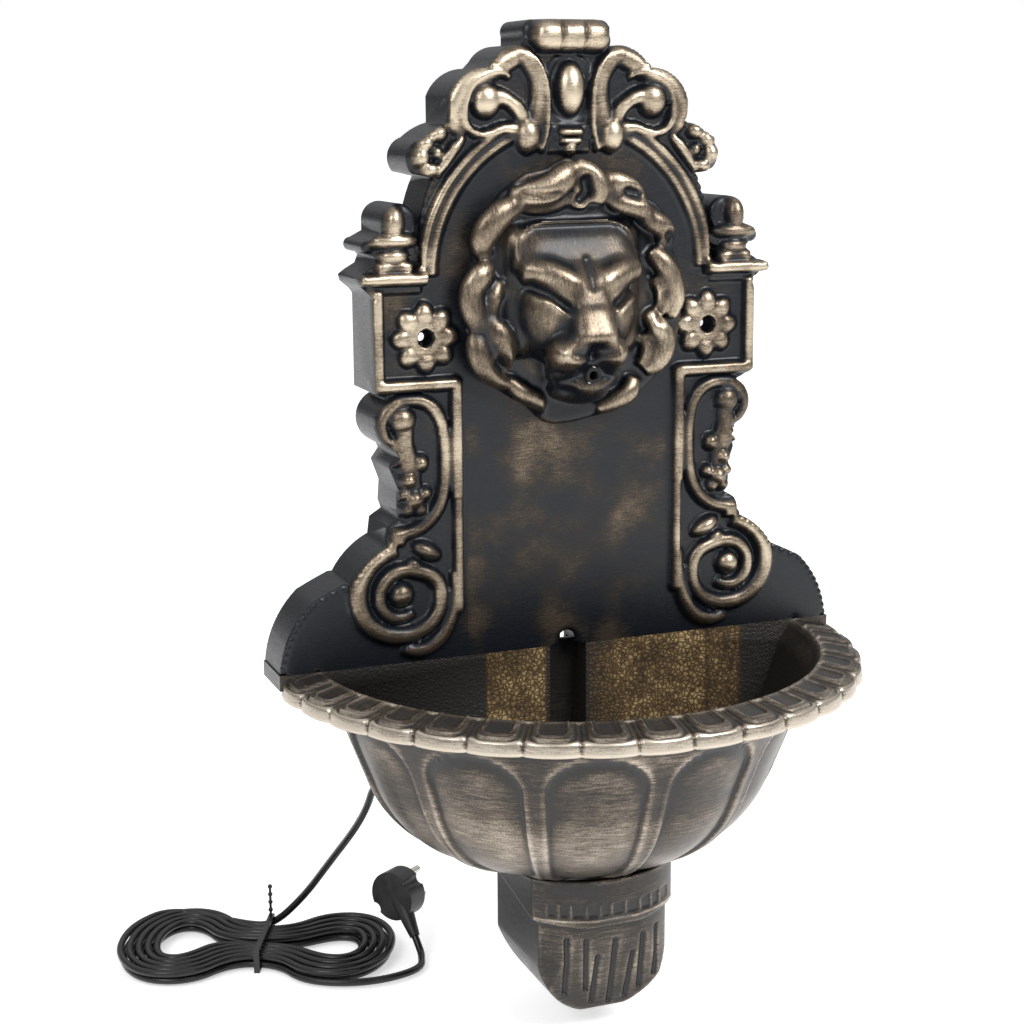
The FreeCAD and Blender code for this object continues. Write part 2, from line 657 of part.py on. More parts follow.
mask_shell = cut("mask_shell", mask_solid, mask_cavity, hose_way)
node("lion_mask", cut("mask_body", fuse("mask_with_posts", mask_shell, mask_posts),
                      mouth, *mask_pilots))
node("lion_mask_screws", fuse("mask_screw_set", *screws))

# Spout: a short tube in the mouth with a barb for the hose behind it
spout_body = rod("spout_body", ("0", "spout_tip", "-mouth_drop"), "+Y", "spout_outer", "spout_length")
spout_barb = rod("spout_barb", ("0", "spout_tip", "-mouth_drop"), "+Y", "hose_bore - fit_gap",
                 "spout_length + barb_grip")
spout_bore = rod("spout_bore", ("0", "spout_tip - 1", "-mouth_drop"), "+Y", "barb_bore",
                 "spout_length + barb_grip + 2")
node("spout_tube", cut("spout", fuse("spout_outside", spout_body, spout_barb), spout_bore))


# Riser hose: from the elbow behind the basin up the wall and over to the spout's barb
def round_pipe(name, points, radius, bore, bends=None):
    """A tube along straight runs joined by tangent arcs. Where no bend radius is given, each arc is
    0.45 of its shorter run divided by the tangent of half the turn."""
    edges = []
    here = points[0]
    radii = []
    for index in range(1, len(points) - 1):
        corner = points[index]
        before = corner - points[index - 1]
        after = points[index + 1] - corner
        half_turn = before.getAngle(after) / 2
        bend = bends or 0.45 * min(before.Length, after.Length) / math.tan(half_turn)
        reach = bend * math.tan(half_turn)
        start = corner - before.normalize() * reach
        end = corner + after.normalize() * reach
        inward = (after - before).normalize()
        middle = corner + inward * (bend / math.cos(half_turn) - bend)
        edges.append(Part.LineSegment(here, start).toShape())
        edges.append(Part.Arc(start, middle, end).toShape())
        radii.append(round(bend, 1))
        here = end
    edges.append(Part.LineSegment(here, points[-1]).toShape())
    length = sum(edge.Length for edge in edges)
    spine = Part.Wire(edges)
    heading = points[1] - points[0]
    solid = swept(spine, points[0], heading, radius)
    if bore:
        solid = solid.cut(swept(spine, points[0], heading, bore))
    section = math.pi * (radius ** 2 - (bore or 0) ** 2)
    print("%s: length %.1f, bend radii %s, volume over section by length %.4f"
          % (name, length, radii, solid.Volume / (section * length)))
    return solid


def swept(spine, start, heading, radius):
    """A round section carried along the spine as one closed solid."""
    section = Part.Wire([Part.makeCircle(radius, start, heading)])
    return spine.makePipeShell([section], True, False)


def formed(name, shape):
    thing = doc.addObject("Part::Feature", name)
    thing.Shape = shape
    return thing


riser_points = [vec(0, v.riser_y, v.riser_foot), vec(0, v.riser_y, -v.mouth_drop),
                vec(0, v.spout_heel, -v.mouth_drop)]
node("riser_hose", formed("riser", round_pipe("riser_hose", riser_points, v.hose_outer, v.hose_bore,
                                              v.riser_bend)))

# Hose clip: a collar round the riser on a post from the plate
clip_post = box("clip_post", ("-clip_width / 2", "inner_face", "-clip_drop - clip_width / 2"),
                ("clip_width / 2", "riser_y - hose_outer", "clip_width / 2 - clip_drop"))
clip_ring = rod("clip_ring", ("0", "riser_y", "-clip_drop - clip_width / 2"), "+Z",
                "hose_outer + fit_gap + clip_wall", "clip_width")
clip_bore = rod("clip_bore", ("0", "riser_y", "-clip_drop - clip_width"), "+Z", "hose_outer + fit_gap",
                "clip_width * 2")
node("hose_clip", cut("clip", fuse("clip_solid", clip_post, clip_ring), clip_bore))


# Basin: half a turned bowl with its rim, a back wall with the hose groove, and the shelf
def bowl_section(grow):
    """Half section of the bowl's outside as a closed face, grown outwards by the given gap."""
    neck_z = v.seam - v.rim_step - v.rim_fall - v.lip_height
    steps = [
        (v.rim_inner, v.seam - v.rim_step),
        (v.rim_top + grow, v.seam - v.rim_step - v.rim_fall),
        (v.rim_outer + grow, neck_z - grow),
        (v.bowl_neck + grow, neck_z - 1 - grow),
        (v.bowl_belly + grow, -v.belly_drop),
        (v.bowl_turn + grow, -v.turn_drop - grow, v.bowl_heel + grow, -v.heel_drop - grow),
        (v.bowl_base + grow, -v.base_drop - grow),
        (0, -v.base_drop - grow),
        (0, v.seam - v.rim_step),
    ]
    return half_section((0, v.seam - v.rim_step), steps)


def half_section(start, steps):
    def to_point(rz):
        return vec(rz[0], v.bowl_y, rz[1])
    return Part.Wire(path_wire(start, steps, to_point))


def hollow_section():
    """Half section of the bowl's inside, from above the rim to the flat floor."""
    wall = v.bowl_wall
    top = v.seam + v.rim_step
    steps = [
        (v.rim_inner, top),
        (v.rim_inner, v.seam - v.rim_step),
        (v.bowl_neck - wall, v.seam - v.rim_step - v.rim_fall - v.lip_height),
        (v.bowl_belly - wall, -v.belly_drop),
        (v.bowl_turn - wall * 0.8, -v.turn_drop + wall * 0.6, v.bowl_heel - wall / 2, -v.heel_drop + wall),
        (v.floor_radius, v.basin_floor),
        (0, v.basin_floor),
        (0, top),
    ]
    return half_section((0, top), steps)


bowl_outside = revolved("bowl_turned", drawn("bowl_profile", bowl_section(0)), v.bowl_y)
bowl_inside = revolved("bowl_hollow", drawn("hollow_profile", hollow_section()), v.bowl_y)
front_half = box("front_half", ("-plate_half * 2", "-plate_half * 2", "-plate_half * 3"),
                 ("plate_half * 2", "back_face", "plate_half"))
room_half = box("room_half", ("-plate_half * 2", "-plate_half * 2", "-plate_half * 3"),
                ("plate_half * 2", "front", "plate_half"))
bowl_room = common("bowl_room", bowl_inside, room_half)
bowl_shell = cut("bowl_shell", common("bowl_front", bowl_outside, front_half), bowl_room)
shelf = cut("shelf", box("shelf_block", ("-shelf_half", "front", "seam - shelf_height"),
                         ("shelf_half", "wall_y", "seam")),
            box("shelf_room", ("bowl_wall - shelf_half", "back_face", "seam - shelf_height - 1"),
                ("shelf_half - bowl_wall", "wall_y - bowl_wall", "seam - shelf_skin")),
            bowl_room)
groove_block = box("groove_block", ("-groove_half - groove_wall", "front", "-groove_low - groove_wall"),
                   ("groove_half + groove_wall", "groove_back", "seam"))
groove_room = box("groove_room", ("-groove_half", "front - 1", "-groove_low"),
                  ("groove_half", "groove_face", "seam + 1"))
ribs = []
for x_word, length in (("rib_near", "rib_near_length"), ("rib_far", "rib_far_length")):
    for sign in (1, -1):
        middle = "%d * %s" % (sign, x_word)
        ribs.append(box("%s_%d" % (x_word, sign + 1),
                        (middle + " - rib_thick / 2", "back_face - 1", "seam - shelf_skin - " + length),
                        (middle + " + rib_thick / 2", "wall_y", "seam - shelf_skin + 1")))
foot_bosses = []
foot_pilots = []
for sign in (1, -1):
    at = ("%d * foot_screw_x" % sign, "-foot_screw_y")
    foot_bosses.append(rod("foot_boss_%d" % (sign + 1), at + ("web_z + web_thick",), "+Z",
                           "foot_boss", "web_gap - web_thick + 1"))
    foot_pilots.append(rod("foot_pilot_%d" % (sign + 1), at + ("web_z",), "+Z",
                           "screw_shank + running_gap", "screw_bite + web_thick + 1"))
seam_holes = []
seam_screws = []
for x_word in ("plate_screw_near", "plate_screw_far"):
    for sign in (1, -1):
        x_place = "%d * %s" % (sign, x_word)
        name = "%s_%d" % (x_word, sign + 1)
        seam_holes.append(rod(name + "_hole", (x_place, "plate_screw_y", "seam - shelf_height"), "+Z",
                              "screw_shank + fit_gap", "shelf_height + 1"))
        seam_screws.append(fuse(name + "_screw",
                                rod(name + "_shank", (x_place, "plate_screw_y", "seam - shelf_skin"),
                                    "+Z", "screw_shank", "shelf_skin + screw_bite"),
                                rod(name + "_head", (x_place, "plate_screw_y", "seam - shelf_skin"),
                                    "-Z", "screw_head", "head_height")))
hose_slot = box("shelf_slot", ("-slot_half", "groove_back", "seam - shelf_height - 1"),
                ("slot_half", "wall_y + 1", "seam + 1"))
elbow_hole = rod("elbow_hole", ("0", "front", "outlet_z"), "+Y", "elbow_radius + fit_gap",
                 "groove_depth * 2")
grommet_hole = rod("grommet_hole", ("-grommet_x", "front - 1", "-grommet_drop"), "+Y",
                   "grommet_neck + fit_gap", "back_wall + 2")
basin = cut("basin_body",
            fuse("basin_solid", bowl_shell, shelf, groove_block, *(ribs + foot_bosses)),
            groove_room, hose_slot, elbow_hole, grommet_hole, *(seam_holes + foot_pilots))
node("basin_bowl", basin)
node("seam_screws", fuse("seam_screw_set", *seam_screws))


# Corbel foot: a fluted bracket under the bowl, hollow and open towards the wall
def foot_block(name, inset, open_back):
    """The corbel's mass: its plan, side and front outlines shared, drawn in by the inset."""
    top = v.seam
    reach = v.foot_reach - inset
    half = v.foot_half - inset
    tail = v.foot_tail - inset
    back = v.wall_y + (1 if open_back else 0)
    plan = Part.Wire(path_wire((tail, back),
                               [(tail, v.foot_shoulder + half - tail),
                                (half, v.foot_shoulder), (half, -v.foot_straight),
                                (0, -reach, -half, -v.foot_straight), (-half, v.foot_shoulder),
                                (-tail, v.foot_shoulder + half - tail), (-tail, back),
                                (tail, back)],
                               lambda xy: vec(xy[0], xy[1], -v.foot_low)))
    low = -v.foot_low + inset
    side = Part.Wire(path_wire((back, top),
                               [(back, -v.foot_tail_low + inset), (-v.foot_low_y / 2, low + 6),
                                (-v.foot_low_y, low, -v.foot_low_y * 1.6, low + 3),
                                (-reach + 8, -v.foot_toe_mid + inset / 2, -reach, -v.foot_toe_top),
                                (-reach, top), (back, top)],
                               lambda yz: vec(-v.plate_half, yz[0], yz[1])))
    front_view = Part.Wire(path_wire((half, top),
                                     [(half, -v.foot_side_low), (0, low, -half, -v.foot_side_low),
                                      (-half, top), (half, top)],
                                     lambda xz: vec(xz[0], -v.plate_half, xz[1])))
    return common(name,
                  extruded(name + "_plan", drawn(name + "_plan_outline", plan), "+Z", "foot_low"),
                  extruded(name + "_side", drawn(name + "_side_outline", side), "+X", "plate_half * 2"),
                  extruded(name + "_front", drawn(name + "_front_outline", front_view), "+Y",
                           "plate_half * 2"))


collar_side = Part.Wire(path_wire((v.wall_y, v.seam),
                                  [(v.wall_y, -v.collar_tail_low), (-v.foot_reach - 1, -v.collar_low),
                                   (-v.foot_reach - 1, v.seam), (v.wall_y, v.seam)],
                                  lambda yz: vec(-v.plate_half, yz[0], yz[1])))
above_collar = extruded("above_collar", drawn("collar_side_outline", collar_side), "+X", "plate_half * 2")
below_heel = box("below_heel", ("-plate_half", "-plate_half", "-foot_low - 1"),
                 ("plate_half", "plate_half", "-heel_drop + loose_gap"))
foot_mass = fuse("foot_mass", common("foot_collar", foot_block("foot_outer", 0, False), above_collar),
                 foot_block("foot_stem", v.collar_rise, False))
bowl_clearance = revolved("bowl_clearance", drawn("clearance_profile", bowl_section(v.loose_gap)),
                          v.bowl_y)
web = box("foot_web", ("-plate_half", "-plate_half", "web_z"),
          ("plate_half", "plate_half", "web_z + web_thick"))
foot_room = cut("foot_room", foot_block("foot_inner", v.collar_rise + v.foot_wall, True), web)
foot_holes = []
foot_screws = []
for sign in (1, -1):
    at = ("%d * foot_screw_x" % sign, "-foot_screw_y")
    foot_holes.append(rod("foot_hole_%d" % (sign + 1), at + ("web_z - 1",), "+Z",
                          "screw_shank + fit_gap", "web_thick + 2"))
    foot_screws.append(fuse("foot_screw_%d" % (sign + 1),
                            rod("foot_shank_%d" % (sign + 1), at + ("web_z",), "+Z",
                                "screw_shank", "web_thick + screw_bite"),
                            rod("foot_head_%d" % (sign + 1), at + ("web_z",), "-Z",
                                "screw_head", "head_height")))
foot = cut("foot_body", common("foot_limited", foot_mass, below_heel), foot_room, bowl_clearance,
           *foot_holes)
node("corbel_foot", foot)
node("corbel_screws", fuse("corbel_screw_set", *foot_screws))


# Pump: motor housing with the impeller chamber at its right end and the outlet to the wall
MOTOR_AXIS = ("motor_y", "motor_z")
motor = box("motor_block", ("-motor_left", "motor_y - motor_width / 2", "motor_base"),
            ("-motor_right", "motor_y + motor_width / 2", "motor_z + motor_height / 2"))
rounded = doc.addObject("Part::Fillet", "motor_rounded")
rounded.Base = motor
doc.recompute()
upright = [index for index, edge in enumerate(motor.Shape.Edges, start=1)
           if abs(edge.tangentAt(edge.FirstParameter).x) > 0.9]
rounded.Edges = [(index, v.motor_round, v.motor_round) for index in upright]
chamber = rod("chamber", ("-motor_right - 1",) + MOTOR_AXIS, "+X", "chamber_radius",
              "motor_right + 1 + chamber_right")
outlet = rod("outlet", ("0", "motor_y", "outlet_z"), "+Y", "outlet_radius", "outlet_reach")
outlet_barb = rod("outlet_barb", ("0", "motor_y", "outlet_z"), "+Y", "hose_bore - fit_gap",
                  "outlet_reach + barb_grip")
cup_sockets = []
cups = []
for x_word in ("cup_near", "cup_far"):
    for sign in (1, -1):
        at = ("-" + x_word, "motor_y + %d * cup_spread" % sign)
        name = "%s_%d" % (x_word, sign + 1)
        cup_sockets.append(rod(name + "_socket", at + ("motor_base - 1",), "+Z",
                               "cup_neck + fit_gap", "4 + fit_gap"))
        cups.append(turned(name + "_cup",
                           [("0", "1.5"), ("cup_radius - 1.5", "0"), ("cup_radius", "0"),
                            ("cup_neck", "4"), ("cup_neck", "motor_base - basin_floor + 3"),
                            ("0", "motor_base - basin_floor + 3")],
                           at + ("basin_floor",), "+Z"))
rotor_well = rod("rotor_well", ("-motor_right - rotor_length - 1",) + MOTOR_AXIS, "+X",
                 "rotor_radius + rotor_gap", "rotor_length + motor_right")
chamber_room = rod("chamber_room", ("chamber_floor - motor_right",) + MOTOR_AXIS, "+X", "chamber_bore",
                   "chamber_right + motor_right")
outlet_bore = rod("outlet_bore", ("0", "motor_y", "outlet_z"), "+Y", "barb_bore",
                  "outlet_reach + barb_grip + 1")
bush_seat = rod("bush_seat", ("-motor_right - rotor_length - 1 - bush_length",) + MOTOR_AXIS, "+X",
                "bush_radius + fit_gap", "bush_length + 2")
node("pump_body", cut("pump_shell", fuse("pump_solid", rounded, chamber, outlet, outlet_barb),
                      rotor_well, chamber_room, outlet_bore, bush_seat, *cup_sockets))
node("suction_cups", fuse("cup_set", *cups))

# Axle and its two bushes
ROTOR_START = "-motor_right - rotor_length"
rear_bush = tube("rear_bush_tube", (ROTOR_START + " - 1 - bush_length",) + MOTOR_AXIS, "+X",
                 "bush_radius", "axle_radius + running_gap", "bush_length")
node("rear_bush", rear_bush)
front_bush = tube("front_bush_tube", ("chamber_right - bush_length",) + MOTOR_AXIS, "+X",
                  "bush_radius", "axle_radius + running_gap", "bush_length")
node("front_bush", front_bush)
axle = rod("axle", (ROTOR_START + " - 1 - bush_length",) + MOTOR_AXIS, "+X", "axle_radius",
           "chamber_right + motor_right + rotor_length + 1 + bush_length")
node("impeller_axle", axle)

# Rotor: the magnet sleeve and the impeller spin together on the axle
node("magnet_rotor", tube("magnet_tube", (ROTOR_START,) + MOTOR_AXIS, "+X", "rotor_radius",
                          "axle_radius + running_gap", "rotor_length + chamber_floor - 1"))
plate_start = "chamber_floor - motor_right + 1"
wheel = [rod("impeller_plate", (plate_start,) + MOTOR_AXIS, "+X", "impeller_radius", "vane_thick"),
         rod("impeller_hub", ("chamber_floor - motor_right - 1",) + MOTOR_AXIS, "+X", "bush_radius + 1",
             "vane_height + vane_thick + 2")]
VANES = 6
for index in range(VANES):
    spin = FreeCAD.Rotation(vec(1, 0, 0), 360 * index / VANES)
    vane = primitive("Part::Box", "vane_%d" % index, (plate_start,) + MOTOR_AXIS, spin,
                     {"Length": "vane_thick + vane_height", "Width": "impeller_radius - 0.5",
                      "Height": "vane_thick"})
    wheel.append(vane)
node("impeller", cut("impeller_wheel", fuse("wheel_solid", *wheel),
                     rod("impeller_bore", ("-motor_left",) + MOTOR_AXIS, "+X",
                         "axle_radius + running_gap", "motor_left * 2")))

# Impeller cover: a disc in the mouth of the chamber with a ring of inlet holes
cover_cuts = [rod("cover_bush_seat", ("cover_face - 1",) + MOTOR_AXIS, "+X", "bush_radius + fit_gap",
                  "cover_thick + 2")]
INLETS = 8
for index in range(INLETS):
    angle = 2 * math.pi * index / INLETS
    cover_cuts.append(rod("inlet_%d" % index,
                          ("cover_face - 1", "motor_y + %.6f * cover_holes" % math.cos(angle),
                           "motor_z + %.6f * cover_holes" % math.sin(angle)), "+X", "cover_hole",
                          "cover_thick + 2"))
node("impeller_cover", cut("cover_disc", rod("cover_plate", ("cover_face",) + MOTOR_AXIS, "+X",
                                             "chamber_bore - fit_gap", "cover_thick"), *cover_cuts))

# Strainer cap: slides over the chamber, slotted all round, with the flow dial's pin on its face
cap_cuts = [rod("cap_room", ("chamber_right - cap_overlap - 1",) + MOTOR_AXIS, "+X",
                "chamber_radius + loose_gap", "cap_reach - cap_face - chamber_right + cap_overlap + 1")]
SLOTS = 18
for index in range(SLOTS):
    spin = FreeCAD.Rotation(vec(1, 0, 0), 360 * index / SLOTS)
    offset = spin.multVec(vec(0, -0.5, 0))
    slot = primitive("Part::Box", "slot_%d" % index,
                     ("chamber_right + 0.8", "motor_y + %.6f * strainer_slot" % offset.y,
                      "motor_z + %.6f * strainer_slot" % offset.z), spin,
                     {"Length": "slot_length", "Width": "strainer_slot", "Height": "cap_outer + 1"})
    cap_cuts.append(slot)
WINDOWS = 4
for index in range(WINDOWS):
    angle = 2 * math.pi * index / WINDOWS
    cap_cuts.append(rod("flow_window_%d" % index,
                        ("cap_reach - cap_face - 1", "motor_y + %.6f * window_circle" % math.cos(angle),
                         "motor_z + %.6f * window_circle" % math.sin(angle)), "+X", "dial_window",
                        "cap_face + 2"))
cap = cut("cap_shell", rod("cap_block", ("chamber_right - cap_overlap",) + MOTOR_AXIS, "+X", "cap_outer",
                           "cap_reach - chamber_right + cap_overlap"), *cap_cuts)
dial_post = rod("dial_post", ("cap_reach - 1",) + MOTOR_AXIS, "+X", "dial_pin",
                "1 + loose_gap * 2 + dial_thick + pin_head_height")
dial_post_head = rod("dial_post_head", ("dial_face + dial_thick + loose_gap",) + MOTOR_AXIS, "+X",
                     "pin_head", "pin_head_height")
node("strainer_cap", fuse("cap_with_pin", cap, dial_post, dial_post_head))

# Flow dial: turns on the cap's pin and shuts the windows behind it
dial_cuts = [rod("dial_bore", ("cap_reach",) + MOTOR_AXIS, "+X", "dial_pin + running_gap",
                 "dial_thick * 2")]
for index in range(WINDOWS):
    angle = 2 * math.pi * index / WINDOWS
    dial_cuts.append(rod("dial_window_%d" % index,
                         ("cap_reach", "motor_y + %.6f * window_circle" % math.cos(angle),
                          "motor_z + %.6f * window_circle" % math.sin(angle)), "+X", "dial_window",
                         "dial_thick * 2"))
dial_tab = box("dial_tab", ("dial_face", "motor_y - 1.5", "motor_z + dial_radius - 1"),
               ("dial_face + dial_thick", "motor_y + 1.5", "motor_z + dial_radius + 3"))
node("flow_dial", cut("dial", fuse("dial_disc", rod("dial_plate", ("dial_face",) + MOTOR_AXIS, "+X",
                                                    "dial_radius", "dial_thick"), dial_tab),
                      *dial_cuts))

# Strain relief where the mains cord enters the pump
gland = cone("gland", ("-motor_left", "motor_y", "gland_z"), "-X", "gland_radius", "cord_radius + 1",
             "gland_length")
node("cord_strain_relief", gland)

# Pump hose and the bulkhead elbow through the back of the groove
node("pump_hose", tube("pump_hose_tube", ("0", "outlet_tip", "outlet_z"), "+Y", "hose_outer", "hose_bore",
                       "elbow_flange_face - outlet_tip"))
elbow_barb = rod("elbow_barb", ("0", "elbow_flange_face - barb_grip", "outlet_z"), "+Y",
                 "hose_bore - fit_gap", "barb_grip + 1")
elbow_flange = rod("elbow_flange", ("0", "elbow_flange_face", "outlet_z"), "+Y", "flange_radius",
                   "flange_thick")
elbow_neck = rod("elbow_neck", ("0", "elbow_flange_face", "outlet_z"), "+Y", "elbow_radius",
                 "riser_y - elbow_flange_face")
elbow_corner = ball("elbow_corner", ("0", "riser_y", "outlet_z"), "elbow_radius")
elbow_top = rod("elbow_top", ("0", "riser_y", "outlet_z"), "+Z", "elbow_radius", "elbow_rise")
elbow_spigot = rod("elbow_spigot", ("0", "riser_y", "outlet_z"), "+Z", "hose_bore - fit_gap",
                   "elbow_rise + barb_grip")
elbow_channel = formed("elbow_channel", round_pipe("elbow_channel", [
    vec(0, v.elbow_flange_face - v.barb_grip - 1, v.outlet_z), vec(0, v.riser_y, v.outlet_z),
    vec(0, v.riser_y, v.riser_foot + v.barb_grip + 1)], v.barb_bore, 0, v.elbow_radius))
node("riser_elbow", cut("elbow", fuse("elbow_solid", elbow_barb, elbow_flange, elbow_neck, elbow_corner,
                                      elbow_top, elbow_spigot),
                        elbow_channel))
node("bulkhead_seal", tube("bulkhead_seal_ring", ("0", "groove_face - seal_thick", "outlet_z"), "+Y",
                           "flange_radius", "elbow_radius + fit_gap", "seal_thick"))
nut_blank = primitive("Part::Prism", "nut_blank", ("0", "groove_back", "outlet_z"), "+Y",
                      {"Circumradius": "nut_radius", "Height": "nut_thick"})
nut_blank.Polygon = 6
node("bulkhead_nut", cut("bulkhead_nut_ring", nut_blank,
                         rod("nut_bore", ("0", "groove_back - 1", "outlet_z"), "+Y",
                             "elbow_radius + fit_gap", "nut_thick + 2")))

# Grommet where the cord leaves through the basin's back wall
node("cord_grommet", turned("grommet",
                            [("cord_radius + fit_gap", "0"), ("grommet_flange", "0"),
                             ("grommet_flange", "grommet_lip"), ("grommet_neck", "grommet_lip"),
                             ("grommet_neck", "grommet_lip + back_wall"),
                             ("grommet_flange", "grommet_lip + back_wall"),
                             ("grommet_flange", "grommet_lip * 2 + back_wall"),
                             ("cord_radius + fit_gap", "grommet_lip * 2 + back_wall")],
                            ("-grommet_x", "front - grommet_lip", "-grommet_drop"), "+Y"))


# Hank: the spare cord wound in nine loops of two layers, drawn in at a waist, lying on the floor
HANK_CENTRE = vec(-178, 135, 0)
HANK_ALONG = vec(0.911, -0.413, 0)
HANK_ACROSS = vec(0.413, 0.911, 0)
STATIONS = 12
CLIMB_TURN = 4 + 3.5 / STATIONS
LOOPS = 9
first_layer = v.floor_z + v.tie_wall + 0.4 + v.cord_radius


def hank_point(along, across, height):
    """A point of the hank, from its own long and short directions and a height."""
    return HANK_CENTRE + HANK_ALONG * along + HANK_ACROSS * across + vec(0, 0, height)


def hank_heading(along, across, rise=0):
    return (HANK_ALONG * along + HANK_ACROSS * across + vec(0, 0, rise)).normalize()


def slope_station(lobe_at, lobe_half, lobe_radius, inward, steps, easing):
    """Where a loop changes from its waist curve to its lobe curve: place and slope in degrees."""
    slope = 2 * math.degrees(math.atan2(lobe_half - v.waist_half, lobe_at))
    rise, run = math.sin(math.radians(slope)), math.cos(math.radians(slope))
    waist_radius = lobe_at / rise - lobe_radius
    along = waist_radius * rise + inward * steps[0]
    across = v.waist_half + waist_radius * (1 - run) - inward * steps[1]
    return along, across, math.radians(slope - easing * inward)


def loop_stations(inward):
    """The stations of one loop from its right end, for loops counted inwards from the outermost:
    along, across, and the heading there."""
    right_end = v.hank_right - v.left_step * inward
    left_end = v.hank_left - v.left_step * inward
    right_half = v.lobe_right - v.right_step * inward
    left_half = v.lobe_left - v.left_step * inward
    waist = v.waist_half - v.loop_step * inward
    r_along, r_across, r_slope = slope_station(v.lobe_right_at, v.lobe_right, 46, inward,
                                               (3.4, 5.6), 4)
    l_along, l_across, l_slope = slope_station(v.lobe_left_at, v.lobe_left, 42, inward,
                                               (4.65, 3.65), 0)
    right_x, right_z = math.cos(r_slope), math.sin(r_slope)
    left_x, left_z = math.cos(l_slope), math.sin(l_slope)
    return [(right_end, 0, 0, -1), (v.lobe_right_at, -right_half, -1, 0),
            (r_along, -r_across, -right_x, right_z), (0, -waist, -1, 0),
            (-l_along, -l_across, -left_x, -left_z), (-v.lobe_left_at, -left_half, -1, 0),
            (-left_end, 0, 0, 1), (-v.lobe_left_at, left_half, 1, 0),
            (-l_along, l_across, left_x, -left_z), (0, waist, 1, 0),
            (r_along, r_across, right_x, right_z), (v.lobe_right_at, right_half, 1, 0)]


def hank_route():
    """Points and headings of the whole hank, from the plug's neck to where the cord rises."""
    route = list(plug_lead)
    top = first_layer + v.layer_rise
    for step in range(1, STATIONS * LOOPS - 3):
        turn = step / STATIONS
        inward = turn if turn < CLIMB_TURN else 2 * CLIMB_TURN - turn
        height = first_layer if turn < CLIMB_TURN else top
        along, across, out_along, out_across = loop_stations(inward)[step % STATIONS]
        route.append((hank_point(along, across, height), hank_heading(out_along, out_across)))
    waist = loop_stations(2 * CLIMB_TURN - LOOPS + 3 / STATIONS)[9][1]
    route.append((hank_point(-5, waist + 0.8, top), hank_heading(1, 0)))
    route.append((HANK_END, HANK_RISE))
    return route


def biarc(start, leave, end, arrive):
    """Two tangent arcs from one point and heading to another."""
    gap = end - start
    both = leave + arrive
    dot = gap.dot(both)
    spread = 2 * (1 - leave.dot(arrive))
    if spread < 1e-9:
        reach = gap.dot(gap) / (4 * gap.dot(arrive))
    else:
        reach = (-dot + math.sqrt(dot * dot + spread * gap.dot(gap))) / spread
    joint = (start + leave * reach + end - arrive * reach) * 0.5
    return [tangent_arc(start, leave, joint), tangent_arc(end, arrive * -1, joint, True)]


def tangent_arc(start, leave, end, backwards=False):
    """The arc that leaves the start along the heading and passes through the end."""
    chord = end - start
    side = chord - leave * chord.dot(leave)
    if side.Length < 1e-6 * chord.Length:
        return Part.LineSegment(end, start) if backwards else Part.LineSegment(start, end)
    side.normalize()
    radius = chord.dot(chord) / (2 * chord.dot(side))
    centre = start + side * radius
    towards = (start + end) * 0.5 - centre
    if chord.dot(leave) < 0:
        towards = towards * -1
    middle = centre + towards.normalize() * radius
    return Part.Arc(end, middle, start) if backwards else Part.Arc(start, middle, end)


def arc_radius(edge):
    return edge.Curve.Radius if hasattr(edge.Curve, "Radius") else math.inf


# Plug: a flat round contour plug on edge over the right end of the hank, its neck pointing down
PLUG_CENTRE = vec(-82.5, 114.5, -418)
PIN_AXIS = vec(0.822, 0.569, 0).normalize()
NECK_HINT = vec(0.141, -0.658, -0.740)
neck_axis = (NECK_HINT - PIN_AXIS * NECK_HINT.dot(PIN_AXIS)).normalize()
neck_out = (neck_axis * 0.966 - PIN_AXIS * 0.259).normalize()
neck_tip = PLUG_CENTRE + neck_out * v.neck_end
lead_end = neck_tip + neck_out * (v.cord_radius * 2)
plug_lead = [(neck_tip, neck_out), (lead_end, neck_out),
             (hank_point(112, -14, first_layer), hank_heading(0.35, -1)),
             (hank_point(97, -42, first_layer), hank_heading(-0.85, -0.6))]
HANK_END = hank_point(8.5, 29.4, first_layer + v.layer_rise + 5.5)
HANK_RISE = hank_heading(0.67, -0.12, 0.74)

route = hank_route()
hank_edges = [Part.LineSegment(route[0][0], route[1][0]).toShape()]
for (start, leave), (end, arrive) in zip(route[1:-1], route[2:]):
    hank_edges += [curve.toShape() for curve in biarc(start, leave, end, arrive)]
hank_spine = Part.Wire(hank_edges)
hank_shape = swept(hank_spine, route[0][0], route[0][1], v.cord_radius)


def least_gap(edges, radius):
    """The least clearance between stretches of the tube that aren't next to each other."""
    points = []
    run = 0
    for edge in edges:
        count = max(2, int(edge.Length / 3))
        for index in range(count):
            spot = edge.valueAt(edge.FirstParameter + (edge.LastParameter - edge.FirstParameter)
                                * (index + 0.5) / count)
            points.append((run + edge.Length * (index + 0.5) / count, spot))
        run += edge.Length
    cells = {}
    side = radius * 5
    best = math.inf
    for reach, spot in points:
        key = (int(spot.x // side), int(spot.y // side), int(spot.z // side))
        for dx in (-1, 0, 1):
            for dy in (-1, 0, 1):
                for dz in (-1, 0, 1):
                    for other_reach, other in cells.get((key[0] + dx, key[1] + dy, key[2] + dz), []):
                        if reach - other_reach > radius * 8:
                            best = min(best, spot.distanceToPoint(other) - 2 * radius)
        cells.setdefault(key, []).append((reach, spot))
    return best


hank_length = hank_spine.Length
print("hank: length %.0f, least gap to itself %.2f, tightest arc %.1f, volume over section by length %.4f"
      % (hank_length, least_gap(hank_edges, v.cord_radius), min(arc_radius(edge) for edge in hank_edges),
         hank_shape.Volume / (math.pi * v.cord_radius ** 2 * hank_length)))
node("cord_hank", formed("hank", hank_shape))

plug_turn = FreeCAD.Rotation(vec(0, 0, 1), PIN_AXIS)


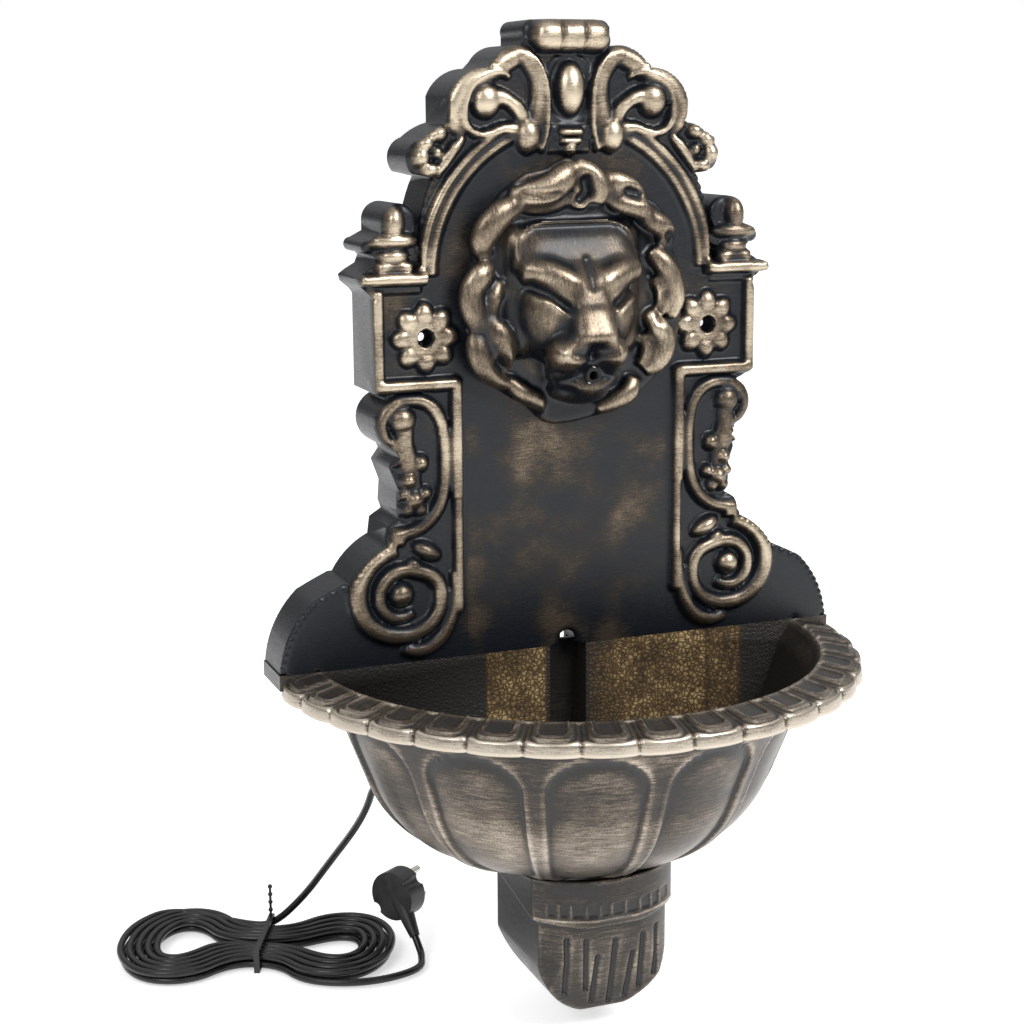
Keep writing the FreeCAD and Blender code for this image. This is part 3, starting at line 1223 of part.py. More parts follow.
def along_plug(distance):
    """A place on the plug's pin axis, as numbers for a primitive."""
    spot = PLUG_CENTRE + PIN_AXIS * distance
    return (spot.x, spot.y, spot.z)


pin_side = PIN_AXIS.cross(neck_axis).normalize()
plug_disc = rod("plug_disc", along_plug(-v.plug_thick / 2), plug_turn, "plug_radius", "plug_thick")
plug_neck = cone("plug_neck", (PLUG_CENTRE.x, PLUG_CENTRE.y, PLUG_CENTRE.z),
                 FreeCAD.Rotation(vec(0, 0, 1), neck_out), "plug_thick / 2", "cord_radius + 1", "neck_end")
notches = []
for sign in (1, -1):
    notch_at = PLUG_CENTRE + pin_side * (sign * (v.plug_radius + 1.5)) - PIN_AXIS * v.plug_thick
    notches.append(rod("plug_notch_%d" % (sign + 1), (notch_at.x, notch_at.y, notch_at.z), plug_turn,
                       "plug_radius / 4", "plug_thick * 2"))
node("plug_body", cut("plug", fuse("plug_solid", plug_disc, plug_neck), *notches))
pins = []
PIN_LINE = (neck_axis * 0.9 + pin_side * 0.43).normalize()
for sign in (1, -1):
    foot_spot = PLUG_CENTRE + PIN_AXIS * (v.plug_thick / 2) + PIN_LINE * (sign * v.pin_spacing / 2)
    pins.append(rod("pin_%d" % (sign + 1), (foot_spot.x, foot_spot.y, foot_spot.z), plug_turn,
                    "pin_radius", "pin_length"))
node("plug_pins", fuse("pin_pair", *pins))

# Tie: a band round the hank's waist with a beaded tail standing up from its far side
tie_turn = FreeCAD.Rotation(vec(0, 0, 1), math.degrees(math.atan2(HANK_ALONG.y, HANK_ALONG.x)))


def tie_block(name, grow, reach):
    """A block round the waist, grown by the given amount and running the given way along it."""
    corner = hank_point(-reach / 2, -v.tie_near - grow, v.floor_z)
    block = primitive("Part::Box", name, (corner.x, corner.y, corner.z + v.tie_wall - grow), tie_turn,
                      {"Length": reach, "Width": v.tie_far + v.tie_near + 2 * grow,
                       "Height": v.tie_room + 2 * grow})
    return block


band_out = tie_block("tie_outside", v.tie_wall, v.tie_width)
band_in = tie_block("tie_inside", 0, v.tie_width * 3)
tail_foot = hank_point(0, v.tie_far - 3, v.floor_z + v.tie_wall + v.tie_room)
tail = [rod("tie_tail_rod", (tail_foot.x, tail_foot.y, tail_foot.z), "+Z", "tail_radius", "tie_tail")]
BEADS = 4
for index in range(BEADS):
    bead_z = tail_foot.z + v.tie_tail * (index + 1) / BEADS
    tail.append(ball("tie_bead_%d" % index, (tail_foot.x, tail_foot.y, bead_z), "tie_bead"))
node("hank_tie", fuse("tie", cut("tie_band", band_out, band_in), *tail))

# Mains cord: from the pump through the grommet, down behind the bowl and over to the hank
gland_tip = vec(-v.motor_left - v.gland_length, v.motor_y, v.gland_z)
cord_points = [
    gland_tip,
    vec(-97, v.motor_y, v.gland_z),
    vec(-v.grommet_x, -28, -v.grommet_drop),
    vec(-v.grommet_x, 22, -v.grommet_drop),
    vec(-123, 38, -305),
    vec(-121, 58, -326),
    vec(-122, 88, -354),
    vec(-131, 122, -389),
    HANK_END + HANK_RISE * 26,
    HANK_END,
]
node("power_cord", formed("cord", round_pipe("power_cord", cord_points, v.cord_radius, 0)))

# Check every object before anything is written
doc.recompute()
for thing in doc.Objects:
    if "Invalid" in thing.State or "Error" in thing.State:
        raise RuntimeError("%s failed: %s" % (thing.Name, thing.State))
for thing in NODES:
    if thing.Shape.isNull() or not thing.Shape.isValid():
        raise RuntimeError("%s has no valid shape" % thing.Label)

os.makedirs("parts", exist_ok=True)
for thing in NODES:
    thing.Shape.exportStep("parts/%s.step" % thing.Label)
    print("%-20s solids %d volume %.0f" % (thing.Label, len(thing.Shape.Solids), thing.Shape.Volume))
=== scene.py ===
"""Garden wall fountain with an antique bronze finish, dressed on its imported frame. Places are in metres
in the part's frame: the origin is midway between the wall screws, +X right, +Y into the wall, +Z up."""
import json
import math
import bpy
import numpy as np
from mathutils import Matrix, Vector, kdtree

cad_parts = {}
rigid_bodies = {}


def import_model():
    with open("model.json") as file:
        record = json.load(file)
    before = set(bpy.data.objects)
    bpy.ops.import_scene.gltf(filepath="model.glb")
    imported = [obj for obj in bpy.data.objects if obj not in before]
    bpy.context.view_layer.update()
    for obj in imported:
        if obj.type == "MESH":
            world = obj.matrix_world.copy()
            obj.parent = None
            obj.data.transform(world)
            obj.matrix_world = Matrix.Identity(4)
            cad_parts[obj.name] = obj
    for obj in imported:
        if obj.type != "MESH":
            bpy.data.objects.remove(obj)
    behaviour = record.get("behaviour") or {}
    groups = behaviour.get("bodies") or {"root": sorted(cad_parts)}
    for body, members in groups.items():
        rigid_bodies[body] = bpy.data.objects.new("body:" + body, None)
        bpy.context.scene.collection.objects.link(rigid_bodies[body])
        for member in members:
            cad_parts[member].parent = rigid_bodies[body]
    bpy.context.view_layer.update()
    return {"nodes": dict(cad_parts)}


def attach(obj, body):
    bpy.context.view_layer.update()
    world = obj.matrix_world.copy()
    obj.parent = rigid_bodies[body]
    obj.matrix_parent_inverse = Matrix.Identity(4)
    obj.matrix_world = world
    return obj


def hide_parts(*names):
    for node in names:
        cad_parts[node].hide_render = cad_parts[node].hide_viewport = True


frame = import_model()
nodes = frame["nodes"]


# Studio: the camera stands low and to the left of the fountain, over a plain pale floor. A soft light
# from the upper right and a weaker one from the left light it before white surroundings.
def clear_choice():
    """Leave nothing selected, so that an operator acts on the new piece alone."""
    bpy.ops.object.select_all(action="DESELECT")


def choose(piece):
    """Select one piece alone and make it the active one."""
    clear_choice()
    piece.select_set(True)
    bpy.context.view_layer.objects.active = piece


def surface(name, color, roughness, metallic=0.0):
    """A material whose plain values sit on the shader itself."""
    material = bpy.data.materials.new(name)
    material.use_nodes = True
    shader = material.node_tree.nodes["Principled BSDF"]
    shader.inputs["Base Color"].default_value = (*color, 1)
    shader.inputs["Roughness"].default_value = roughness
    shader.inputs["Metallic"].default_value = metallic
    return material


def add(material, kind, **values):
    """A node of the material, with values for its inputs by name or for its own settings."""
    node = material.node_tree.nodes.new("ShaderNode" + kind)
    for word, value in values.items():
        if hasattr(node, word):
            setattr(node, word, value)
        else:
            node.inputs[word.replace("_", " ")].default_value = value
    return node


def join(material, source, out, target, into):
    material.node_tree.links.new(source.outputs[out], target.inputs[into])


def grain(material, scale, stretch=(1, 1, 1), detail=4, rough=0.6, turn=(0, 0, 0)):
    """Noise over the piece's own coordinates, stretched and turned; gives its node."""
    where = add(material, "TexCoord")
    mapping = add(material, "Mapping", Scale=stretch, Rotation=turn)
    noise = add(material, "TexNoise", Scale=scale, Detail=detail, Roughness=rough)
    join(material, where, "Object", mapping, "Vector")
    join(material, mapping, "Vector", noise, "Vector")
    return noise


def ramp(material, source, out, stops):
    """A colour ramp with stops of place and colour."""
    colors = add(material, "ValToRGB")
    bar = colors.color_ramp
    while len(bar.elements) < len(stops):
        bar.elements.new(0.5)
    for element, (place, color) in zip(bar.elements, stops):
        element.position = place
        element.color = (*color, 1) if len(color) == 3 else color
    join(material, source, out, colors, "Fac")
    return colors


def spread(material, source, out, low, high, new_low, new_high):
    """A value moved from one range to another."""
    moved = add(material, "MapRange")
    for slot, value in zip((1, 2, 3, 4), (low, high, new_low, new_high)):
        moved.inputs[slot].default_value = value
    join(material, source, out, moved, "Value")
    return moved


def bumps(material, source, out, distance, strength=1.0):
    """Small unevenness of the surface, its depth in metres."""
    bump = add(material, "Bump", Strength=strength, Distance=distance)
    join(material, source, out, bump, "Height")
    join(material, bump, "Normal", material.node_tree.nodes["Principled BSDF"], "Normal")
    return bump


def speckled(name, dark, light, roughness, metallic=0.0, scale=60, stretch=(1, 1, 1), depth=0.00008):
    """A moulded or drawn material: two near tones, uneven gloss and a fine surface."""
    material = surface(name, light, roughness, metallic)
    shader = material.node_tree.nodes["Principled BSDF"]
    broad = grain(material, scale, stretch)
    fine = grain(material, scale * 14, stretch, 3)
    tones = ramp(material, broad, "Fac", [(0.3, dark), (0.7, light)])
    join(material, tones, "Color", shader, "Base Color")
    gloss = spread(material, broad, "Fac", 0.3, 0.7, roughness - 0.06, roughness + 0.08)
    join(material, gloss, "Result", shader, "Roughness")
    bumps(material, fine, "Fac", depth)
    return material


clear_choice()
bpy.ops.object.camera_add(location=(-0.4814, -1.1417, 0.1399),
                          rotation=[math.radians(angle) for angle in (78.16, 0.352, -21.355)])
camera = bpy.context.object
camera.data.lens = 67.85
bpy.context.scene.camera = camera
bpy.ops.mesh.primitive_plane_add(size=60, location=(0, 0, -0.458))
floor = bpy.context.object
floor.name = "studio_floor"
paper = speckled("floor_paper", (0.9, 0.9, 0.9), (0.93, 0.93, 0.93), 0.9, 0, 3)
paper.node_tree.nodes["Principled BSDF"].inputs["Emission Color"].default_value = (1, 1, 1, 1)
paper.node_tree.nodes["Principled BSDF"].inputs["Emission Strength"].default_value = 0.5
floor.data.materials.append(paper)
world = bpy.data.worlds.new("white_room")
bpy.context.scene.world = world
bpy.context.scene.view_settings.view_transform = "Standard"
world.use_nodes = True
room = world.node_tree.nodes
sky = room["Background"]
seen = room.new("ShaderNodeBackground")
seen.inputs["Color"].default_value = (1, 1, 1, 1)
rays = room.new("ShaderNodeLightPath")
both = room.new("ShaderNodeMixShader")
where = room.new("ShaderNodeTexCoord")
axes = room.new("ShaderNodeSeparateXYZ")
heights = room.new("ShaderNodeValToRGB")
for place, tone in ((0.0, 0.3), (0.42, 0.14), (0.58, 0.18), (0.78, 0.75), (1.0, 1.7)):
    stop = heights.color_ramp.elements.new(place)
    stop.color = (tone, tone, tone, 1)
heights.color_ramp.elements.remove(heights.color_ramp.elements[0])
heights.color_ramp.elements.remove(heights.color_ramp.elements[-1])
half = room.new("ShaderNodeMapRange")
half.inputs["From Min"].default_value = -1
for source, out, target, into in ((where, "Generated", axes, 0), (axes, "Z", half, 0), (half, "Result", heights, 0),
                                  (heights, "Color", sky, "Color"), (rays, "Is Camera Ray", both, 0),
                                  (sky, 0, both, 1), (seen, 0, both, 2), (both, 0, room["World Output"], 0)):
    world.node_tree.links.new(source.outputs[out], target.inputs[into])
for place, aim, size, power in (((0.75, -1.35, 1.15), (0, 0, -0.1), 0.9, 36),
                                ((-1.3, -1.0, 0.9), (0, 0, -0.15), 0.7, 10)):
    bpy.ops.object.light_add(type="AREA", location=place)
    lamp = bpy.context.object
    lamp.data.size = size
    lamp.data.energy = power
    lamp.rotation_euler = (Vector(aim) - Vector(place)).to_track_quat("-Z", "Y").to_euler()


# Mains cord: black round PVC flex, 5.2 mm thick. It leaves the pump, goes out through the basin's back
# wall, hangs to the floor and is wound there into a hank of nine loops in two layers with a cable tie.
# Its other end rises from under the hank's right end into the plug.
HANK_MIDDLE = Vector((-178, 135, 0))
HANK_ALONG = Vector((0.911, -0.413, 0))
HANK_ACROSS = Vector((0.413, 0.911, 0))
LOW_LAYER = -453.8
TOP_LAYER = -448.1
CLIMB = 4 + 3.5 / 12
LOOP_CORNERS = (0.33, 0.67, 1.5, 2.5, 3.5, 4.5, 5.33, 5.67, 6.33, 6.67, 7.5, 8.5, 9.5, 10.5, 11.33, 11.67)


def hank_spot(along, across, height):
    return HANK_MIDDLE + HANK_ALONG * along + HANK_ACROSS * across + Vector((0, 0, height))


def loop_corner(index, inward):
    """One of the sixteen points that a loop goes round by, for loops counted in from the outermost."""
    right, left = 96 - 6.5 * inward, 103.4 - 6.5 * inward
    right_half, left_half, waist = 53 - 8 * inward, 57 - 6.5 * inward, 26.4 - 5.75 * inward
    places = []
    for lobe, half, radius, steps, ease in ((58, right_half, 46, (3.4, 5.6), 4),
                                            (62, left_half, 42, (4.65, 3.65), 0)):
        widest = 53 if lobe == 58 else 57
        slope = 2 * math.atan2(widest - 26.4, lobe)
        bend = lobe / math.sin(slope) - radius
        along = bend * math.sin(slope) + steps[0] * inward
        across = 26.4 + bend * (1 - math.cos(slope)) - steps[1] * inward
        fall = math.tan(slope - math.radians(ease * inward))
        places.append((along + (half - across) / fall, along - (across - waist) / fall))
    (right_out, right_in), (left_out, left_in) = places
    quarter = [(right, right_half * 0.414), (58 + 0.414 * (right - 58), right_half),
               (right_out, right_half), (right_in, waist), (-left_in, waist), (-left_out, left_half),
               (-62 - 0.414 * (left - 62), left_half), (-left, left_half * 0.414)]
    if index < 8:
        return quarter[index][0], -quarter[index][1]
    return quarter[15 - index]


cord_way = [Vector(spot) for spot in (
    (-72, -44.5, -306), (-97, -44.5, -306), (-113, -28, -290), (-113, 22, -290), (-123, 38, -305),
    (-121, 58, -326), (-122, 88, -354), (-131, 122, -389), (-143.6, 148.3, -423.5))]
hank_way = [Vector((-77.72, 92.13, -443.15)), Vector((-76.6, 86.9, -449.0)), hank_spot(114.8, -7, LOW_LAYER),
            hank_spot(116.5, -30, LOW_LAYER), hank_spot(81.4, -53, LOW_LAYER)]
for loop in range(9):
    for corner, phase in enumerate(LOOP_CORNERS):
        turn = loop + phase / 12
        if turn > 1 / 12 and turn < 8.6:
            inward = turn if turn < CLIMB else 2 * CLIMB - turn
            height = LOW_LAYER if turn < CLIMB else TOP_LAYER
            hank_way.append(hank_spot(*loop_corner(corner, inward), height))
hank_way += [hank_spot(-16, 27.9, TOP_LAYER), hank_spot(2, 29.3, TOP_LAYER + 0.4)]
cord_line = bpy.data.curves.new("mains_cord", "CURVE")
cord_line.dimensions = "3D"
cord_run = cord_line.splines.new("NURBS")
cord_points = cord_way + hank_way[::-1]
cord_run.points.add(len(cord_points) - 1)
for point, spot in zip(cord_run.points, cord_points):
    point.co = (*(spot * 0.001), 1)
cord_run.order_u = 3
cord_run.use_endpoint_u = True
cord_line.resolution_u = 8
cord_line.bevel_depth = 0.0026
cord_line.bevel_resolution = 3
cord_line.use_fill_caps = True
mains_cord = bpy.data.objects.new("mains_cord", cord_line)
bpy.context.collection.objects.link(mains_cord)
cord_line.materials.append(speckled("black_flex", (0.003, 0.003, 0.0035), (0.008, 0.008, 0.009), 0.3, 0, 90,
                                    depth=0.00004))
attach(mains_cord, "fountain")
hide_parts("power_cord", "cord_hank")


# Wall plate: one hollow moulding, 41 mm deep and open to the wall, dark plastic with a bronze finish
# brushed over what stands proud. Its relief is modelled as rolls and lumps laid on the plain face, and
# the face of the moulding is then drawn over them, as the mould would do, and softened.
MM = 0.001
FACE = -0.0065
WALL_SCREW_X = 0.0975


def rolls(name, strokes, flat=0.6):
    """Round rolls laid on the face along points of x, z, radius and lift in millimetres, pressed flat."""
    line = bpy.data.curves.new(name, "CURVE")
    line.dimensions = "3D"
    line.bevel_depth = MM
    line.bevel_resolution = 4
    line.resolution_u = 6
    line.use_fill_caps = True
    for stroke in strokes:
        spline = line.splines.new("BEZIER")
        spline.bezier_points.add(len(stroke) - 1)
        for point, (x, z, radius, lift) in zip(spline.bezier_points, stroke):
            point.co = (x * MM, -lift * MM / flat, z * MM)
            point.radius = radius
            point.handle_left_type = point.handle_right_type = "AUTO"
    roll = bpy.data.objects.new(name, line)
    bpy.context.collection.objects.link(roll)
    choose(roll)
    bpy.ops.object.convert(target="MESH")
    roll.data.transform(Matrix.Translation((0, FACE, 0)) @ Matrix.Diagonal((1, flat, 1, 1)))
    return roll


def lump(x, z, width, height, rise, turn=0.0):
    """A rounded lump on the face: half width, half height and rise in millimetres."""
    clear_choice()
    bpy.ops.mesh.primitive_uv_sphere_add(segments=32, ring_count=20, radius=MM, location=(x * MM, FACE, z * MM),
                                         rotation=(0, math.radians(turn), 0), scale=(width, rise, height))
    bpy.ops.object.transform_apply(location=True, rotation=True, scale=True)
    return bpy.context.object


def bar(x0, x1, z0, z1, rise, edge):
    """A raised bar with rounded edges."""
    clear_choice()
    bpy.ops.mesh.primitive_cube_add(size=2 * MM, location=((x0 + x1) / 2 * MM, FACE, (z0 + z1) / 2 * MM),
                                    scale=((x1 - x0) / 2, rise, (z1 - z0) / 2))
    bpy.ops.object.transform_apply(location=True, rotation=True, scale=True)
    bpy.ops.object.mode_set(mode="EDIT")
    bpy.ops.mesh.bevel(offset=edge * MM, segments=4, affect="EDGES")
    bpy.ops.object.mode_set(mode="OBJECT")
    return bpy.context.object


def flat_backs(thing):
    """Shade the plain faces that look at the wall or up and down as flat sheets."""
    for face in thing.data.polygons:
        if face.normal.y > 0.995 or abs(face.normal.z) > 0.9995:
            face.use_smooth = False


def arc(middle_x, middle_z, radius, start, end, steps, roll_radius, lift):
    """Points on an arc, for a roll."""
    points = []
    for step in range(steps + 1):
        angle = math.radians(start + (end - start) * step / steps)
        points.append((middle_x + radius * math.cos(angle), middle_z + radius * math.sin(angle),
                       roll_radius, lift))
    return points


clay = [
    rolls("arch_rolls", [arc(0, 38, 94.5, 0, 69, 12, 7.2, 0.3)], 0.34),
    rolls("arch_ridges", [arc(0, 38, 98.8, 0, 68, 12, 2.9, 2.4), arc(0, 38, 92.0, 0, 66, 12, 2.7, 2.0)], 0.85),
    rolls("crest_arms", [
        [(27, 116, 8, 1), (25, 127, 8, 1.5), (22, 137, 7.4, 1.5), (20.3, 147, 6.6, 1.5), (21.5, 157, 6.4, 1.5),
         (26, 166, 6.6, 1.5), (33.5, 172, 6.6, 1.5), (43, 170, 6, 1.5)],
        [(36, 171, 7, 2), (49, 165.5, 8.6, 2), (62, 159, 9.4, 2), (72.5, 150, 9.2, 2), (76.5, 140, 8.2, 2),
         (75.5, 130, 6, 1.5), (71, 123.5, 3.6, 1)],
    ], 0.66),
    rolls("crest_edges", [
        [(19.5, 113, 1.8, 4), (16.8, 122, 1.9, 5), (15.2, 133, 1.9, 5.4), (15.2, 145, 1.9, 5.6), (17, 157, 2, 5.6),
         (21.5, 167, 2, 5), (28, 173.5, 2, 3.5)],
        [(40, 158, 1.8, 4), (48, 161.5, 2.5, 6), (57.5, 160, 2.8, 6.4), (65.5, 154, 2.8, 6.4),
         (69.5, 145, 2.7, 6), (70.5, 135, 2.7, 5.4), (67.5, 127.5, 2.7, 5), (61, 123.8, 2.7, 4.6),
         (53, 124.5, 3, 4), (45, 127, 3.6, 3.4), (36, 126.5, 5, 2.4)],
        [(56, 145, 7.5, 3), (47, 146, 5.4, 3.6), (40, 143, 4.4, 4), (34.5, 138, 5, 3), (30, 129, 6, 2)],
        [(70, 122.5, 2.2, 2), (76, 116.5, 3.6, 3), (82.5, 108, 3.8, 3), (88.5, 98.5, 2.2, 2)],
    ], 0.8),
    lump(28.5, 123, 9.4, 12, 9.8), lump(56.5, 144.5, 11, 11.6, 10.5),
    lump(87.5, 125, 6.8, 6.2, 7.4), lump(96, 119.5, 6.8, 6.6, 7.8), lump(98.5, 110.5, 6.2, 7, 8),
    lump(92.5, 102.8, 7, 5.2, 7), lump(88, 113, 4.6, 5, 5.4),
    bar(-25.8, 25.8, 172.8, 193, 13, 8.5), lump(0, 151, 10.4, 17.4, 11),
    rolls("jewel_frame", [[(0, 171.5, 2.4, 0), (10.5, 167, 2.4, 0), (13.6, 151, 2.2, 0), (11, 135, 2.4, 0),
                           (0, 129.5, 2.2, 0)]], 0.6),
    bar(-15, 15, 112, 130, 2.4, 1.2),
    bar(-8.5, 8.5, 122.6, 127, 8, 2), bar(-7.5, 7.5, 117.3, 121.6, 8.2, 2), lump(0, 114.5, 5, 4.6, 7.5),
    lump(117, 71, 7.4, 12, 9), lump(117.5, 60.3, 17, 5.6, 8.5), lump(117, 51, 10.4, 5.4, 8),
    bar(105, 129, 40, 48, 7, 3),
    bar(95, 141, 33.2, 41, 10, 2.2), bar(99, 133, 28, 34, 3.2, 1.2),
    bar(124.7, 131.2, -33, 30, 6.2, 1.6), bar(76.5, 131.2, -33, -25, 7.2, 2.4),
    bar(73.6, 81.4, -104, -26, 6.4, 2.6), bar(74, 80.2, -178, -100, 5.8, 2.4),
    rolls("pilaster_bands", [
        [(121, -123.5, 4, 2), (111, -122.8, 4.2, 2.4), (101, -119, 4.3, 2.4), (92, -110.5, 4.4, 2.4),
         (87.2, -99, 4.4, 2.4), (85, -80, 4.4, 2.4), (86, -61, 4.4, 2.4), (90, -48, 4.4, 2.4),
         (97.5, -40.6, 4.3, 2.4), (108, -38.4, 4.3, 2.4), (118.5, -40.6, 4.3, 2.4), (125.4, -47.6, 4.2, 2.4),
         (126.6, -55, 3.9, 2.4), (123.4, -62.6, 3.3, 2), (117, -66.5, 2.6, 2)],
        [(112, -56, 6.4, 1.4), (112.6, -66, 6.8, 1.6), (111, -75, 7.6, 1.6), (108.5, -83, 6.6, 1.6),
         (107, -92, 6, 1.6), (106.5, -100, 6, 1.4)],
        [(119, -131.5, 5.8, 2.2), (130, -136.5, 6.2, 2.2), (139.8, -146, 6.4, 2.2), (144.3, -160, 6.4, 2.2),
         (142, -173, 6.3, 2.2), (133, -183.8, 6.1, 2.2), (118, -189.3, 5.8, 2.2), (103, -187, 5.4, 2.2),
         (92.6, -178.4, 5.2, 2.2), (89.2, -165.5, 5, 2.4), (93, -154, 4.9, 2.4), (103.6, -148.2, 4.9, 2.4),
         (117, -147, 4.9, 2.6), (126.5, -152.6, 4.9, 2.6), (130.6, -163, 4.8, 2.6), (127, -173, 4.6, 2.6),
         (117, -177.6, 4.2, 2.4), (108, -174.5, 3.2, 2)],
        [(79, -150, 3.6, 2), (80, -168, 4.2, 2.4), (84, -183.5, 4.8, 2.4), (92.5, -195.5, 5, 2.4),
         (104, -200, 4.8, 2.4), (114.5, -198.6, 3.6, 2)],
    ], 0.72),
    lump(113.4, -50.8, 9.4, 9.4, 8.4), lump(117.6, -74, 5.4, 6.4, 8), lump(101.8, -78.6, 5.6, 6, 7.4),
    lump(110.4, -88.6, 6, 5.6, 10), lump(106.6, -101.4, 7, 7, 10), lump(99.2, -98, 4.8, 4.8, 7.4),
    lump(113.4, -97.6, 4.8, 4.8, 7.4), lump(102.6, -108, 5.2, 5, 7.2), lump(111, -107.6, 5.2, 5, 7.2),
    lump(98.6, -135.4, 11, 5.8, 8, -28), lump(107, -143, 6, 4, 5.6, -20), lump(116, -162.4, 8.6, 8.6, 8.4),
    bar(112.5, 122.6, -131, -121, 5.5, 1.8),
]
clear_choice()
for piece in clay:
    piece.select_set(True)
bpy.context.view_layer.objects.active = clay[0]
bpy.ops.object.join()
relief = bpy.context.object
bpy.ops.object.duplicate()
bpy.context.object.data.transform(Matrix.Diagonal((-1, 1, 1, 1)))
relief.select_set(True)
bpy.context.view_layer.objects.active = relief
bpy.ops.mesh.primitive_plane_add(size=1, location=(0, FACE, 0), rotation=(math.radians(90), 0, 0))
relief.select_set(True)
for piece in bpy.context.collection.objects:
    if piece.name.startswith("arch_rolls"):
        piece.select_set(True)
bpy.context.view_layer.objects.active = relief
bpy.ops.object.join()


def copy_of(node, name):
    """A merged copy of a frame node's mesh, to be worked on as a new piece."""
    piece = nodes[node].copy()
    piece.data = nodes[node].data.copy()
    piece.name = name
    piece.parent = None
    for word in list(piece.keys()):
        del piece[word]
    bpy.context.collection.objects.link(piece)
    choose(piece)
    bpy.ops.object.mode_set(mode="EDIT")
    bpy.ops.mesh.select_all(action="SELECT")
    bpy.ops.mesh.remove_doubles(threshold=0.000002)
    bpy.ops.object.mode_set(mode="OBJECT")
    piece.data.materials.clear()
    return piece


def halve(piece, at, normal, drop_front):
    """Cut the piece by a plane, drop one side and close the cut."""
    choose(piece)
    bpy.ops.object.mode_set(mode="EDIT")
    bpy.ops.mesh.select_all(action="SELECT")
    bpy.ops.mesh.bisect(plane_co=at, plane_no=normal, use_fill=True, clear_inner=drop_front,
                        clear_outer=not drop_front)
    bpy.ops.object.mode_set(mode="OBJECT")


def modify(piece, kind, **settings):
    """Add a modifier to the piece and apply it."""
    modifier = piece.modifiers.new(kind.lower(), kind)
    for word, value in settings.items():
        setattr(modifier, word, value)
    choose(piece)
    bpy.ops.object.modifier_apply(modifier=modifier.name)


def positions(piece):
    spots = np.empty(len(piece.data.vertices) * 3, np.float64)
    piece.data.vertices.foreach_get("co", spots)
    return spots.reshape(-1, 3)


def move_to(piece, spots):
    piece.data.vertices.foreach_set("co", spots.ravel())
    piece.data.update()


shell = copy_of("back_plate", "plate_shell")
halve(shell, (0, FACE + 0.0003, 0), (0, 1, 0), True)
clear_choice()
bpy.ops.mesh.primitive_grid_add(x_subdivisions=340, y_subdivisions=348, size=1, location=(0, FACE + 0.0004, -0.0075),
                                rotation=(math.radians(90), 0, 0))
plate = bpy.context.object
plate.name = "wall_plate_moulding"
plate.scale = (0.3935, 0.4022, 1)
bpy.ops.object.transform_apply(location=True, rotation=True, scale=True)
bpy.ops.object.mode_set(mode="EDIT")
bpy.ops.mesh.select_all(action="DESELECT")
bpy.ops.mesh.select_non_manifold()
bpy.ops.mesh.extrude_region_move(TRANSFORM_OT_translate={"value": (0, 0.05, 0)})
bpy.ops.mesh.edge_face_add()
bpy.ops.mesh.select_all(action="SELECT")
bpy.ops.mesh.normals_make_consistent(inside=False)
bpy.ops.object.mode_set(mode="OBJECT")
modify(plate, "BOOLEAN", operation="INTERSECT", object=shell, solver="EXACT")
bpy.data.objects.remove(shell)
bpy.ops.object.mode_set(mode="EDIT")
for depth in (0.005, 0.0085):
    bpy.ops.mesh.select_all(action="SELECT")
    bpy.ops.mesh.bisect(plane_co=(0, FACE + depth, 0), plane_no=(0, 1, 0))
bpy.ops.object.mode_set(mode="OBJECT")
spots = positions(plate)
front = np.flatnonzero(spots[:, 1] < FACE + 0.00045)
group = plate.vertex_groups.new(name="front")
group.add(front.tolist(), 1.0, "REPLACE")
spots[front, 1] = -0.06
move_to(plate, spots)
modify(plate, "SHRINKWRAP", target=relief, wrap_method="PROJECT", use_project_y=True,
       use_negative_direction=False, use_positive_direction=True, vertex_group="front")
bpy.data.objects.remove(relief)

edge_pairs = np.empty(len(plate.data.edges) * 2, np.int64)
plate.data.edges.foreach_get("vertices", edge_pairs)
edge_pairs = edge_pairs.reshape(-1, 2)
is_front = np.zeros(len(plate.data.vertices), bool)
is_front[front] = True
mixed = edge_pairs[is_front[edge_pairs[:, 0]] != is_front[edge_pairs[:, 1]]]
rim = np.unique(mixed[is_front[mixed]])
spots = positions(plate)
outline = [index for index in rim
           if not (abs(abs(spots[index, 0]) - WALL_SCREW_X) < 0.0065 and abs(spots[index, 2]) < 0.0065)
           and not (abs(spots[index, 0]) < 0.05 and spots[index, 2] < 0.085 and spots[index, 2] > -0.1)]
tree = kdtree.KDTree(len(outline))
for number, index in enumerate(outline):
    tree.insert((spots[index, 0], 0, spots[index, 2]), number)
tree.balance()
ROUNDING = 0.0042
for index in front:
    near = tree.find((spots[index, 0], 0, spots[index, 2]))[2]
    if near < ROUNDING:
        spots[index, 1] += 0.85 * (ROUNDING - math.sqrt(max(0.0, ROUNDING ** 2 - (ROUNDING - near) ** 2)))
for side in (1, -1):
    wide, high = spots[front, 0] - side * WALL_SCREW_X, spots[front, 2]
    away, turn = np.hypot(wide, high) / MM, np.arctan2(high, wide * side)
    lobe = np.abs(np.cos(4 * turn + 0.12))
    reach = 18.6 + 4.4 * lobe ** 1.2
    petal = np.sqrt(np.clip(1 - (away / reach) ** 4, 0, 1))
    crease = (1 - lobe) ** 3 * np.clip((away - 8) / 9, 0, 1)
    rise = 7 * petal * (1 - 0.3 * crease) * (1 - 0.3 * np.exp(-((away - 9.5) / 4) ** 2))
    rise -= 1.2 * np.clip((8 - away) / 3, 0, 1)
    here = (away < reach + 1) & (away > 2.6)
    spots[front, 1] = np.where(here, np.minimum(spots[front, 1], FACE - rise * MM), spots[front, 1])
crown = (spots[front, 2] > 0.171) * np.exp(-((np.abs(spots[front, 0]) - 0.0078) / 0.0009) ** 2)
spots[front, 1] += crown * 0.0024
move_to(plate, spots)
